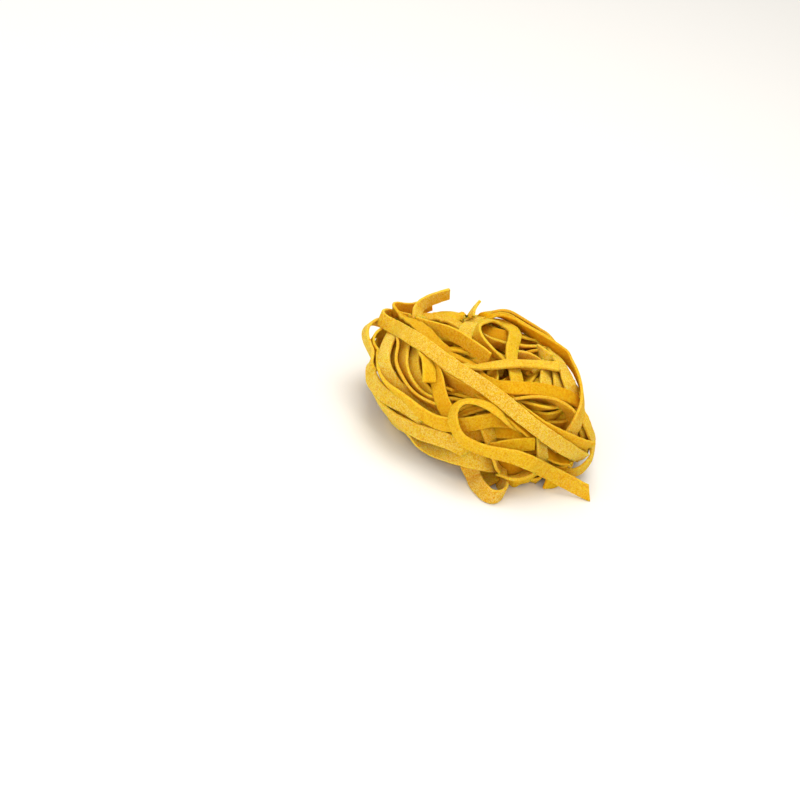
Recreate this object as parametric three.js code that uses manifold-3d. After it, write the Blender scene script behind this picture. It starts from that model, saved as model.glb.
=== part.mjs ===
// Dry pasta nest: one bundle of flat egg-noodle ribbon, wound by hand and dried hard.
// The nest is a low, uneven bun of ribbon with a shallow dish in its top. It lies on the flat spot
// of its underside. Everything is one dried-together piece, so it is one solid: a bun-shaped body
// out to the outline of the winding, with the outer turns of ribbon standing on it as bands, and the
// strands that leave the outline (a raised end, a long tail, a hanging loop, a rim arc) at full relief.
// Millimetres, +Z up. Origin: middle of the footprint, on the surface the nest lies on.

import * as THREE from 'three';
import { mergeVertices } from 'three/addons/utils/BufferGeometryUtils.js';
import Module from 'manifold-3d';

// ---- driving dimensions (mm, degrees) --------------------------------------------------------
const RIBBON_WIDTH = 5.3;      // flat face of the noodle
const RIBBON_THICK = 1.1;      // edge of the noodle
const HALF_LENGTH = 43.6;      // winding outline along X, from the axis
const HALF_DEPTH = 39.8;       // winding outline along Y
const HALF_HEIGHT = 18.8;      // winding outline above and below the middle plane
const MIDDLE_Z = 15.8;         // height of the middle plane: the flat spot takes the lower 3.0 mm
const SQUARENESS = 2.5;        // exponent of the bun's outline, 2 = ellipsoid
const BODY_INSET = 1.6;        // solid body lies this far inside the outline, under the bands
const DISH_RADIUS = 18.0;      // hollow in the middle of the top
const DISH_DEPTH = 5.0;
const ROOT_DEPTH = 3.2;        // how far a band's foot reaches into the body
const STEP = 9.5;              // spacing of the sections along a ribbon

const GIRDLE_TURNS = 5;        // near-level turns round the side
const SHOULDER_TURNS = 5;      // leaning turns round the top rim
const CROWN_TURNS = 4;         // turns that cross the top
const UNDER_TURNS = 3;         // turns round the flat spot underneath

const COLOUR = 0xe2b13c;       // egg-yellow semolina
const ROUGHNESS = 0.85;

const rad = THREE.MathUtils.degToRad;

// ---- outline of the winding --------------------------------------------------------------------
// Radius of the bun in a direction from its middle, with the slow unevenness of a hand-wound nest.
function outline(dir) {
  const az = Math.atan2(dir.y, dir.x);
  const flat = Math.hypot(dir.x / HALF_LENGTH, dir.y / HALF_DEPTH);
  const tall = Math.abs(dir.z) / HALF_HEIGHT;
  const r = Math.pow(Math.pow(flat, SQUARENESS) + Math.pow(tall, SQUARENESS), -1 / SQUARENESS);
  const lump = 1 + 0.018 * Math.sin(2 * az + 0.7) + 0.016 * Math.sin(3 * az - 1.1) + 0.012 * Math.sin(5 * az + 2.0);
  return r * (1 + (lump - 1) * Math.hypot(dir.x, dir.y));
}

// Point on the outline, moved out by lift.
function onOutline(dir, lift) {
  const d = dir.clone().normalize();
  return d.multiplyScalar(outline(d) + lift).add(new THREE.Vector3(0, 0, MIDDLE_Z));
}

// Outward normal of the outline, from two short steps along it.
function outward(dir) {
  const d = dir.clone().normalize();
  const a = new THREE.Vector3(-d.y, d.x, 0);
  if (a.lengthSq() < 1e-4) a.set(1, 0, 0);
  a.normalize();
  const b = new THREE.Vector3().crossVectors(d, a).normalize();
  const e = 0.03;
  const p = (s, t) => onOutline(d.clone().addScaledVector(a, s).addScaledVector(b, t), 0);
  const u = p(e, 0).sub(p(-e, 0));
  const v = p(0, e).sub(p(0, -e));
  return new THREE.Vector3().crossVectors(u, v).normalize();
}

function direction(azimuth, elevation) {
  const a = rad(azimuth), e = rad(elevation);
  return new THREE.Vector3(Math.cos(e) * Math.cos(a), Math.cos(e) * Math.sin(a), Math.sin(e));
}

// ---- closed bodies -----------------------------------------------------------------------------
const wasm = await Module();
wasm.setup();

function solid(geometry) {
  geometry.deleteAttribute('normal');
  geometry.deleteAttribute('uv');
  const merged = mergeVertices(geometry, 1e-5);
  return new wasm.Manifold(new wasm.Mesh({
    numProp: 3,
    vertProperties: new Float32Array(merged.attributes.position.array),
    triVerts: new Uint32Array(merged.index.array),
  }));
}

// Strip of ribbon through stations {point, normal}: a closed bar whose face looks along the normal,
// above outer by half the thickness and down to root below the centre-line.
function bar(stations, width, above, root) {
  const pos = [], idx = [];
  const n = stations.length;
  stations.forEach((s, i) => {
    const prev = stations[Math.max(i - 1, 0)].point, next = stations[Math.min(i + 1, n - 1)].point;
    const along = next.clone().sub(prev).normalize();
    const across = new THREE.Vector3().crossVectors(along, s.normal).normalize();
    const face = new THREE.Vector3().crossVectors(across, along).normalize();
    for (const [w, h] of [[-0.5, above], [0.5, above], [0.5, -root], [-0.5, -root]]) {
      const p = s.point.clone().addScaledVector(across, w * width).addScaledVector(face, h);
      pos.push(p.x, p.y, p.z);
    }
  });
  for (let i = 0; i < n - 1; i++) {
    for (let k = 0; k < 4; k++) {
      const a = 4 * i + k, b = 4 * i + (k + 1) % 4;
      idx.push(a, b, a + 4, b, b + 4, a + 4);
    }
  }
  idx.push(0, 2, 1, 0, 3, 2);
  const e = 4 * (n - 1);
  idx.push(e, e + 1, e + 2, e, e + 2, e + 3);
  const g = new THREE.BufferGeometry();
  g.setAttribute('position', new THREE.Float32BufferAttribute(pos, 3));
  g.setIndex(idx);
  let m = solid(g);
  if (m.volume() < 0) {
    for (let i = 0; i < idx.length; i += 3) [idx[i], idx[i + 1]] = [idx[i + 1], idx[i]];
    g.setIndex(idx);
    m = solid(g);
  }
  return m;
}

// One turn of ribbon: it follows a leaning circle of directions. lean and heading set the circle's
// axis, opening its size (90 = through the middle plane), from and sweep the stretch that is there.
function turn({ lean, heading, opening, from, sweep, lift, wander }) {
  const axis = direction(heading, 90 - lean);
  const u = new THREE.Vector3().crossVectors(axis, new THREE.Vector3(0.3, 0.2, 1)).normalize();
  const v = new THREE.Vector3().crossVectors(axis, u).normalize();
  const open = rad(opening);
  const at = (t) => {
    const th = rad(from + sweep * t);
    const w = open + rad(wander) * Math.sin(2 * th + heading);
    const dir = axis.clone().multiplyScalar(Math.cos(w))
      .addScaledVector(u, Math.sin(w) * Math.cos(th)).addScaledVector(v, Math.sin(w) * Math.sin(th));
    return { point: onOutline(dir, lift), normal: outward(dir) };
  };
  let length = 0, last = at(0).point;
  for (let i = 1; i <= 60; i++) {
    const p = at(i / 60).point;
    length += p.distanceTo(last);
    last = p;
  }
  const n = Math.max(4, Math.round(length / STEP));
  const stations = [];
  for (let i = 0; i <= n; i++) stations.push(at(i / n));
  return bar(stations, RIBBON_WIDTH, RIBBON_THICK / 2, ROOT_DEPTH);
}

// A strand that leaves the outline: a smooth line through a few stops [azimuth, elevation, lift, twist],
// where twist turns the ribbon about its own line, 0 = face outward.
function stray(stops, steps, root = RIBBON_THICK / 2) {
  const line = new THREE.CatmullRomCurve3(stops.map(([a, e, l]) => onOutline(direction(a, e), l)), false, 'centripetal');
  const stations = [];
  for (let i = 0; i <= steps; i++) {
    const t = i / steps;
    const f = t * (stops.length - 1), k = Math.min(Math.floor(f), stops.length - 2), w = f - k;
    const mix = (j) => stops[k][j] * (1 - w) + stops[k + 1][j] * w;
    const point = line.getPoint(t);
    const along = line.getTangent(t);
    const normal = outward(direction(mix(0), mix(1)));
    normal.addScaledVector(along, -normal.dot(along)).normalize().applyAxisAngle(along, rad(mix(3)));
    stations.push({ point, normal });
  }
  return bar(stations, RIBBON_WIDTH, RIBBON_THICK / 2, root);
}

// ---- body of the bun ---------------------------------------------------------------------------
// A sphere's directions pushed out to the outline, less the inset, with the dish pressed in on top.
function body() {
  const g = new THREE.SphereGeometry(1, 30, 16);
  g.rotateX(Math.PI / 2);
  const p = g.attributes.position;
  for (let i = 0; i < p.count; i++) {
    const q = onOutline(new THREE.Vector3().fromBufferAttribute(p, i), -BODY_INSET);
    const r = Math.hypot(q.x, q.y) / DISH_RADIUS;
    if (q.z > MIDDLE_Z && r < 1) q.z -= DISH_DEPTH * 0.5 * (1 + Math.cos(Math.PI * r));
    p.setXYZ(i, q.x, q.y, q.z);
  }
  return solid(g);
}

// ---- winding -----------------------------------------------------------------------------------
const GOLDEN = 137.508;
let nest = body();
for (let i = 0; i < GIRDLE_TURNS; i++) {
  const t = i / (GIRDLE_TURNS - 1);
  nest = nest.add(turn({
    lean: 7 + 5 * Math.sin(2.1 * i), heading: GOLDEN * i, opening: 108 - 46 * t,
    from: 40 + 97 * i, sweep: 330, lift: -0.6 + 0.6 * (i % 2), wander: 3,
  }));
}
for (let i = 0; i < SHOULDER_TURNS; i++) {
  nest = nest.add(turn({
    lean: 20 + 3.5 * i, heading: 25 + GOLDEN * i, opening: 52 + 4 * Math.sin(1.7 * i),
    from: 61 * i, sweep: 300, lift: -0.5 + 0.55 * (i % 3), wander: 4,
  }));
}
for (let i = 0; i < CROWN_TURNS; i++) {
  nest = nest.add(turn({
    lean: 52 + 8 * i, heading: 70 + GOLDEN * i, opening: 62 + 6 * Math.cos(2.3 * i),
    from: 150 + 25 * i, sweep: 240, lift: 0.1 + 0.35 * (i % 3), wander: 3,
  }));
}

for (let i = 0; i < UNDER_TURNS; i++) {
  nest = nest.add(turn({
    lean: 8 + 5 * i, heading: 200 + GOLDEN * i, opening: 128 + 9 * i,
    from: 75 * i, sweep: 250, lift: -0.5 + 0.3 * (i % 2), wander: 3,
  }));
}

// ---- strands that stand off the winding --------------------------------------------------------
const diagonal = stray([[163, 12, 0.5, 0], [187, 24, 1.2, 0], [212, 31, 1.6, 0], [253, 33, 1.8, 0], [286, 25, 1.8, 0], [308, 12, 1.6, 0], [336, -6, 0.4, 0]], 12, 2.4);
const tail = stray([[250, 33, -1.0, 0], [258, 12, 1.6, 0], [280, 4, 2.2, 0], [308, -12, 2.8, 0], [328, -18, 6.5, 0]], 10);
const raisedEnd = stray([[150, 14, -3.0, 0], [146, 19, 1.5, 20], [137, 22, 2.5, 40], [124, 24, 3.6, 55]], 6);
const hangingLoop = stray([[270, -12, -1.5, 0], [277, -21, 1.0, 0], [284, -25.5, 2.6, 0], [290, -22, 0.6, 0], [291, -14, -2.0, 0]], 7);
const rimArc = stray([[100, 30, -1.5, 10], [75, 34, 0.4, 5], [40, 38, 1.2, 0], [5, 33, 0.8, -10], [-22, 24, 0.8, 0], [-38, 17, -0.5, 0]], 12, 2.0);
const leftBand = stray([[158, 10, 0, 0], [185, 2, 0.8, 0], [212, 4, 1.2, 0], [240, 2, 1.0, 0], [262, 2, -0.8, 0]], 9, 2.4);
for (const strand of [diagonal, tail, raisedEnd, hangingLoop, rimArc, leftBand]) nest = nest.add(strand);

// ---- flat spot it lies on ----------------------------------------------------------------------
const under = new THREE.BoxGeometry(200, 200, 60);
under.translate(0, 0, -30);
nest = nest.subtract(solid(under));

// Where bands cross they can shut in a sliver of air: only the outer shell is kept, so none is sealed in.
nest = nest.decompose().reduce((a, b) => (b.volume() > a.volume() ? b : a));

// ---- one mesh, its box centred on the axes -----------------------------------------------------
const out = nest.getMesh();
const geometry = new THREE.BufferGeometry();
geometry.setAttribute('position', new THREE.BufferAttribute(new Float32Array(out.vertProperties), 3));
geometry.setIndex(new THREE.BufferAttribute(new Uint32Array(out.triVerts), 1));
geometry.computeBoundingBox();
const mid = geometry.boundingBox.getCenter(new THREE.Vector3());
geometry.translate(-mid.x, -mid.y, -geometry.boundingBox.min.z);
geometry.computeVertexNormals();

const mesh = new THREE.Mesh(geometry, new THREE.MeshStandardMaterial({ color: COLOUR, roughness: ROUGHNESS, metalness: 0 }));
mesh.name = 'pasta_nest';

const group = new THREE.Group();
group.name = 'dry_pasta_nest';
group.add(mesh);

export default group;
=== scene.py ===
"""Dry pasta nest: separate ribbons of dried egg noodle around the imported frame's solid."""
import math, random
import bpy
import numpy as np
from mathutils import Matrix


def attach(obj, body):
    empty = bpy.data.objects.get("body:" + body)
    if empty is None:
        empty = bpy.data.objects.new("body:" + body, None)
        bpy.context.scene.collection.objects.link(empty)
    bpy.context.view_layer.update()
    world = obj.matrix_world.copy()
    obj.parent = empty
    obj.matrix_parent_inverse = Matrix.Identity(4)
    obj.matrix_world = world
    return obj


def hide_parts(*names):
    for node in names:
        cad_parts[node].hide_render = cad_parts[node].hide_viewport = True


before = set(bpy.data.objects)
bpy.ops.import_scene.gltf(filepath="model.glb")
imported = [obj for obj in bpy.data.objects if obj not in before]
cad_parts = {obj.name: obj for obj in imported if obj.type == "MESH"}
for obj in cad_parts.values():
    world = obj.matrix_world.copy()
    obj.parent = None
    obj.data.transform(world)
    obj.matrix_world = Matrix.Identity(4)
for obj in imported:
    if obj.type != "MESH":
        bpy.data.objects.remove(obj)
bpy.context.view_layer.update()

# ------------------------------------------------------------------------------------------------
# The ribbons. Every ribbon is a row of stations along its centre line: x, y, z in hundredths of a
# millimetre, then the direction across its width in thousandths. They were laid out turn by turn and
# relaxed as inextensible strips that touch but do not cross.
# ------------------------------------------------------------------------------------------------
# Each entry: name, width scale, a value of painted light and shade mixed with the ribbon's own tone (above 0 painted
# lighter where the ribbon lies lit, below 0 painted darker orange where it lies in shade), flour dust along the
# ribbon, then the stations.
RIBBONS = [
 ("A", 0.976, 0.30, [0.35, 0.3, 0.35, 0.5, 0.6, 0.8, 0.85, 0.8, 0.75, 0.8], [-25,-513,3218,123,-65,990,-151,-451,3239,127,-54,990,-277,-390,3260,131,-39,991,-404,-332,3282,131,-23,991,-533,-277,3302,122,-7,992,-662,-221,3320,102,8,995,-790,-161,3333,75,17,997,-914,-96,3341,46,14,999,-1035,-29,3344,20,2,1000,-1160,31,3348,0,-2,1000,-1291,82,3350,-26,8,1000,-1427,133,3347,-69,30,997,-1566,186,3335,-122,59,991,-1703,245,3312,-178,93,980,-1839,312,3277,-229,128,965,-1971,389,3231,-272,154,950,-2098,479,3177,-307,164,938,-2220,580,3117,-337,170,926,-2335,688,3054,-361,181,915,-2442,804,2988,-380,196,904,-2539,924,2921,-389,214,896,-2628,1046,2853,-391,233,890,-2711,1163,2788,-392,243,887,-2782,1273,2731,-385,248,889,-2849,1381,2679,-351,270,897,-2937,1446,2640,-314,313,897,-3036,1471,2606,-345,331,878,-3083,1545,2569,-379,288,879,-3091,1662,2537,-307,253,917,-3150,1739,2508,-219,231,948,-3268,1757,2485,-183,173,968,-3400,1779,2464,-156,142,978,-3534,1830,2439,-113,159,981,-3674,1868,2417,-61,175,983,-3812,1848,2415,-8,178,984,-3930,1763,2435,38,177,984,-4023,1641,2467,63,175,982,-4090,1501,2502,72,175,982,-4120,1354,2531,87,173,981,-4094,1215,2546,118,179,977,-4010,1106,2550,149,222,964,-3889,1028,2547,161,301,940,-3756,962,2548,163,381,910,-3630,886,2561,166,451,877,-3524,794,2591,175,498,849,-3444,689,2635,186,516,836,-3383,578,2687,196,518,833,-3335,464,2743,205,517,831,-3289,350,2799,209,512,833,-3244,237,2855,213,506,836,-3199,124,2909,220,501,837,-3147,12,2959,227,494,839,-3083,-96,3004,232,489,841,-3006,-199,3041,238,485,842,-2919,-299,3072,244,483,841,-2826,-395,3099,251,482,839,-2728,-491,3125,258,484,836,-2630,-591,3151,266,488,831,-2531,-697,3181,277,496,823,-2430,-806,3212,292,506,811,-2327,-908,3237,312,509,802,-2217,-995,3250,325,505,800,-2098,-1069,3248,330,492,806,-1978,-1139,3239,337,476,812,-1860,-1212,3230,344,468,814,-1744,-1291,3223,351,464,814,-1629,-1373,3217,352,464,813,-1509,-1455,3212,341,471,814,-1386,-1537,3209,320,480,817,-1257,-1620,3209,300,488,820,-1127,-1705,3213,287,494,820,-996,-1791,3220,281,498,820,-863,-1876,3226,277,501,820,-729,-1957,3232,272,504,820,-595,-2031,3233,268,506,820,-461,-2095,3229,271,504,820,-327,-2149,3217,279,500,820,-193,-2193,3198,288,497,819,-57,-2228,3171,296,491,820,79,-2258,3139,304,483,821,214,-2294,3108,312,478,821,348,-2339,3082,323,475,819,482,-2394,3060,334,474,815,616,-2457,3040,345,476,809,751,-2517,3017,355,480,802,888,-2566,2985,365,477,800,1025,-2601,2942,374,469,800,1163,-2630,2894,380,464,800,1301,-2657,2843,382,463,800,1439,-2681,2791,379,463,801,1577,-2701,2737,374,464,803,1715,-2716,2682,368,466,805,1853,-2726,2625,361,467,807,1988,-2729,2567,353,469,810,2122,-2725,2507,344,470,813,2254,-2713,2445,335,469,817,2383,-2691,2380,327,468,821,2509,-2656,2311,319,469,824,2632,-2609,2237,312,469,826,2750,-2552,2161,306,467,830,2862,-2488,2084,304,461,834,2969,-2420,2008,308,450,838,3071,-2349,1933,320,434,842,3168,-2275,1858,342,412,845,3260,-2197,1782,371,386,845,3347,-2114,1706,404,358,842,3430,-2027,1629,439,329,836,3509,-1938,1553,473,299,829,3583,-1846,1477,505,273,819,3653,-1750,1402,534,253,807,3719,-1651,1328,561,237,793,3781,-1549,1255,586,225,779,3840,-1444,1181,608,216,764,3896,-1335,1107,632,212,746,3949,-1220,1029,655,208,727,4003,-1100,949,671,198,715,4056,-977,866,682,186,707]),
 ("B", 1.013, -0.71, [0.25, 0.25], [-931,-977,2709,544,827,142,-1057,-898,2734,555,820,141,-1184,-816,2764,567,810,149,-1308,-738,2814,574,801,168,-1421,-674,2898,582,790,193,-1528,-624,2996,599,773,210,-1639,-561,3063,625,758,186,-1751,-472,3083,658,743,122,-1857,-371,3085,685,725,70,-1957,-269,3088,693,719,49,-2055,-170,3092,691,721,47,-2155,-78,3103,694,716,69,-2256,6,3126,704,701,110,-2354,92,3147,720,679,145,-2443,185,3146,742,655,145,-2524,285,3124,764,633,124,-2599,386,3099,785,611,105,-2672,488,3073,802,591,86,-2745,591,3055,814,576,68,-2818,693,3040,826,562,50,-2884,790,3001,843,538,15,-2944,884,2944,861,508,-31,-3004,986,2913,867,493,-77,-3066,1095,2898,862,488,-138,-3127,1191,2849,847,500,-181,-3197,1279,2783,809,548,-213,-3282,1377,2755,734,590,-336,-3383,1476,2751,630,589,-507,-3498,1563,2743,524,554,-647,-3621,1642,2730,436,450,-779,-3732,1713,2718,332,208,-920,-3783,1793,2703,182,-84,-980,-3744,1907,2681,71,-186,-980,-3651,2032,2651,10,-155,-988,-3536,2143,2620,-16,-128,-992,-3410,2243,2597,4,-106,-994,-3284,2342,2587,62,-80,-995,-3162,2442,2591,129,-55,-990,-3045,2551,2607,181,-25,-983,-2935,2668,2629,201,8,-980,-2826,2786,2657,201,41,-979,-2715,2900,2687,194,70,-978,-2600,3009,2720,187,93,-978]),
 ("C", 0.983, 0.60, [0.8, 0.75], [-2091,2999,3344,-72,-283,956,-2208,2894,3307,-75,-273,959,-2325,2785,3271,-85,-260,962,-2438,2670,3236,-102,-241,965,-2549,2548,3202,-134,-220,966,-2655,2419,3167,-181,-199,963,-2753,2282,3130,-248,-183,951,-2837,2134,3091,-335,-175,926,-2897,1977,3050,-439,-180,880,-2925,1813,3011,-558,-207,803,-2921,1654,2981,-668,-255,699,-2887,1513,2960,-777,-357,518,-2840,1418,2928,-911,-342,230,-2809,1411,2858,-990,-143,-13,-2797,1494,2772,-982,-77,-173,-2781,1605,2691,-905,-201,-374,-2736,1655,2616,-776,-331,-537,-2658,1596,2570,-708,-370,-601,-2584,1472,2564,-686,-359,-632,-2524,1339,2579,-673,-359,-647,-2470,1206,2601,-680,-373,-632,-2417,1073,2628,-701,-393,-595,-2365,941,2656,-733,-408,-544,-2307,812,2678,-767,-423,-483,-2238,688,2678,-792,-446,-417,-2157,578,2641,-811,-472,-346,-2071,474,2581,-831,-482,-277,-1990,355,2545,-854,-469,-225,-1922,215,2555,-871,-449,-200,-1861,65,2585,-884,-428,-188,-1801,-85,2608,-892,-415,-180,-1738,-235,2616,-896,-407,-176,-1673,-382,2615,-898,-404,-173]),
 ("D", 1.049, 0.50, [0.7, 0.8, 0.8, 0.85, 0.85, 0.6], [-3364,2309,2062,39,-176,-984,-3447,2182,2081,16,-190,-982,-3517,2045,2107,-8,-184,-983,-3575,1899,2134,-45,-156,-987,-3640,1757,2156,-122,-88,-989,-3738,1635,2176,-229,44,-972,-3877,1553,2200,-311,210,-927,-4043,1503,2224,-357,327,-875,-4208,1439,2237,-404,386,-830,-4334,1327,2229,-448,392,-804,-4413,1180,2204,-458,353,-816,-4456,1019,2169,-410,306,-859,-4465,853,2130,-315,266,-911,-4442,687,2089,-203,247,-947,-4390,525,2049,-93,245,-965,-4318,367,2014,2,248,-969,-4234,212,1985,80,250,-965,-4145,58,1963,136,247,-960,-4057,-96,1947,171,237,-956,-3976,-248,1938,187,234,-954,-3901,-396,1934,208,255,-944,-3860,-520,1913,171,374,-912,-3874,-610,1853,-24,560,-828,-3889,-692,1763,-232,619,-751,-3857,-762,1663,-380,529,-759,-3790,-821,1569,-501,338,-797,-3741,-904,1508,-491,147,-859,-3727,-1020,1493,-339,9,-941,-3689,-1146,1492,-241,-64,-968,-3620,-1266,1486,-226,-91,-970,-3549,-1380,1484,-203,-107,-973,-3478,-1494,1484,-174,-114,-978,-3399,-1603,1483,-146,-116,-983,-3313,-1705,1482,-117,-114,-987,-3222,-1802,1482,-87,-110,-990,-3127,-1896,1484,-58,-107,-993,-3027,-1983,1487,-31,-104,-994,-2916,-2055,1490,-8,-108,-994,-2796,-2113,1493,11,-119,-993,-2675,-2174,1502,34,-115,-993,-2557,-2242,1517,63,-94,-994,-2438,-2312,1534,86,-66,-994,-2314,-2384,1551,89,-32,-996,-2184,-2455,1564,66,0,-998,-2052,-2529,1573,23,21,-1000,-1920,-2603,1575,-37,21,-999,-1785,-2669,1568,-111,-2,-994,-1645,-2698,1548,-187,-12,-982,-1503,-2677,1511,-255,41,-966,-1359,-2647,1464,-292,109,-950,-1210,-2638,1413,-299,127,-946,-1061,-2635,1366,-291,120,-949,-912,-2617,1326,-276,112,-955,-766,-2588,1288,-264,102,-959,-620,-2558,1252,-258,97,-961]),
 ("E", 0.971, 0.00, [0.25, 0.3, 0.3, 0.25, 0.2], [-3295,1354,2326,-289,928,233,-3417,1332,2257,-321,873,366,-3535,1323,2181,-372,762,530,-3650,1310,2119,-390,556,733,-3756,1268,2086,-285,284,915,-3851,1193,2075,-73,37,997,-3947,1090,2072,127,-137,982,-4038,966,2063,243,-229,943,-4102,824,2042,269,-246,931,-4130,673,2010,221,-228,948,-4123,524,1973,129,-192,973,-4087,380,1942,23,-144,989,-4037,242,1925,-82,-103,991,-3982,109,1926,-173,-72,982,-3926,-18,1940,-215,-70,974,-3868,-138,1950,-191,-76,979,-3813,-213,1944,-13,-177,984,-3790,-223,1931,146,-319,936,-3782,-251,1911,-17,-285,958,-3750,-354,1883,-194,-208,959,-3702,-493,1857,-244,-189,951,-3655,-638,1838,-289,-162,944,-3605,-790,1824,-331,-153,931,-3549,-946,1816,-374,-156,914,-3490,-1104,1815,-419,-166,893,-3427,-1265,1819,-461,-180,869,-3358,-1424,1828,-495,-197,846,-3280,-1581,1842,-521,-219,825,-3193,-1732,1861,-543,-249,802,-3098,-1876,1884,-560,-286,777,-2998,-2013,1907,-568,-324,757,-2892,-2143,1930,-562,-357,746,-2782,-2262,1953,-537,-391,748,-2667,-2369,1975,-488,-430,759,-2548,-2466,1991,-420,-464,780,-2425,-2556,1997,-335,-483,809,-2300,-2640,1990,-240,-485,841,-2173,-2715,1971,-141,-476,868,-2042,-2781,1941,-50,-455,889,-1912,-2838,1906,25,-418,908,-1783,-2889,1869,72,-366,928,-1653,-2934,1834,90,-302,949,-1518,-2975,1805,82,-232,969,-1379,-3014,1783,51,-160,986,-1237,-3049,1770,9,-95,995,-1094,-3077,1767,-42,-38,998,-948,-3094,1774,-102,9,995,-802,-3102,1792,-168,48,985,-658,-3107,1822,-233,71,970,-515,-3117,1865,-296,71,953,-376,-3129,1919,-351,57,935,-239,-3138,1981,-396,41,917,-102,-3140,2048,-429,29,903,35,-3133,2119,-442,25,897,169,-3115,2189,-426,41,904,300,-3077,2253,-390,78,917,428,-3017,2302,-348,129,929,552,-2940,2333,-310,204,929,675,-2858,2347,-299,319,899,792,-2770,2342,-314,453,834,900,-2674,2319,-340,564,753,1003,-2575,2282,-360,643,676,1115,-2484,2250,-360,703,614,1240,-2407,2233,-336,744,577,1374,-2335,2216,-296,759,580,1510,-2264,2189,-254,754,606,1644,-2195,2151,-222,755,617,1774,-2123,2100,-200,762,616,1896,-2046,2037,-189,765,616]),
 ("F", 0.948, 0.50, [0.85, 0.9, 0.9, 0.9, 0.7], [1273,2361,2693,115,952,282,1121,2371,2718,116,960,255,972,2380,2752,128,968,215,829,2390,2794,142,977,158,691,2404,2843,149,985,90,553,2421,2888,153,988,16,412,2443,2911,163,984,-68,272,2466,2901,183,972,-146,133,2490,2870,209,954,-213,-8,2515,2841,232,932,-280,-149,2550,2827,237,911,-339,-290,2595,2824,194,902,-385,-431,2630,2812,119,908,-402,-575,2631,2784,42,915,-400,-720,2605,2758,-27,911,-412,-869,2576,2741,-66,902,-427,-1024,2558,2735,-73,902,-426,-1180,2552,2747,-68,910,-409,-1333,2553,2771,-56,918,-392,-1484,2553,2779,-60,922,-382,-1628,2538,2750,-94,922,-377,-1768,2507,2705,-146,916,-375,-1906,2463,2666,-204,905,-374,-2042,2408,2632,-255,895,-366,-2176,2348,2596,-300,889,-347,-2309,2284,2559,-341,888,-310,-2445,2217,2534,-372,895,-247,-2584,2151,2521,-389,905,-170,-2718,2090,2490,-409,908,-93,-2840,2033,2428,-463,886,-24,-2945,1979,2343,-554,831,45,-3044,1919,2252,-653,750,103,-3148,1837,2197,-729,676,105,-3245,1729,2201,-799,601,32,-3324,1609,2242,-867,490,-88,-3387,1481,2293,-905,366,-218,-3437,1343,2333,-910,260,-323,-3470,1197,2349,-900,186,-394,-3489,1047,2351,-884,141,-445,-3503,900,2349,-866,119,-486,-3514,757,2341,-850,111,-515,-3525,610,2333,-843,90,-530,-3536,456,2332,-834,64,-548,-3545,297,2334,-816,47,-576,-3550,134,2334,-796,34,-605,-3550,-31,2330,-776,23,-630,-3547,-195,2322,-754,14,-657,-3539,-359,2309,-724,5,-690,-3526,-521,2292,-689,-2,-725,-3508,-681,2273,-651,-8,-759,-3483,-836,2253,-612,-17,-791,-3447,-983,2229,-568,-29,-822,-3398,-1115,2200,-518,-28,-855,-3337,-1236,2165,-466,-11,-885,-3270,-1352,2129,-425,2,-905,-3195,-1462,2093,-392,9,-920,-3108,-1560,2055,-364,14,-931,-3009,-1649,2014,-340,15,-940,-2904,-1738,1976,-316,-1,-949,-2798,-1835,1946,-306,-38,-951,-2685,-1926,1917,-321,-116,-940,-2559,-1991,1882,-345,-268,-900,-2423,-2038,1842,-365,-444,-818,-2284,-2091,1811,-381,-574,-725,-2147,-2153,1790,-385,-666,-639,-2011,-2212,1772,-370,-745,-555,-1873,-2263,1753,-341,-810,-478,-1732,-2306,1732,-306,-859,-411,-1591,-2342,1709,-271,-895,-354,-1450,-2375,1693,-243,-920,-306,-1308,-2410,1693,-222,-935,-277,-1163,-2448,1712,-204,-940,-272,-1015,-2485,1730,-192,-939,-284,-864,-2515,1730,-184,-936,-299]),
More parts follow.
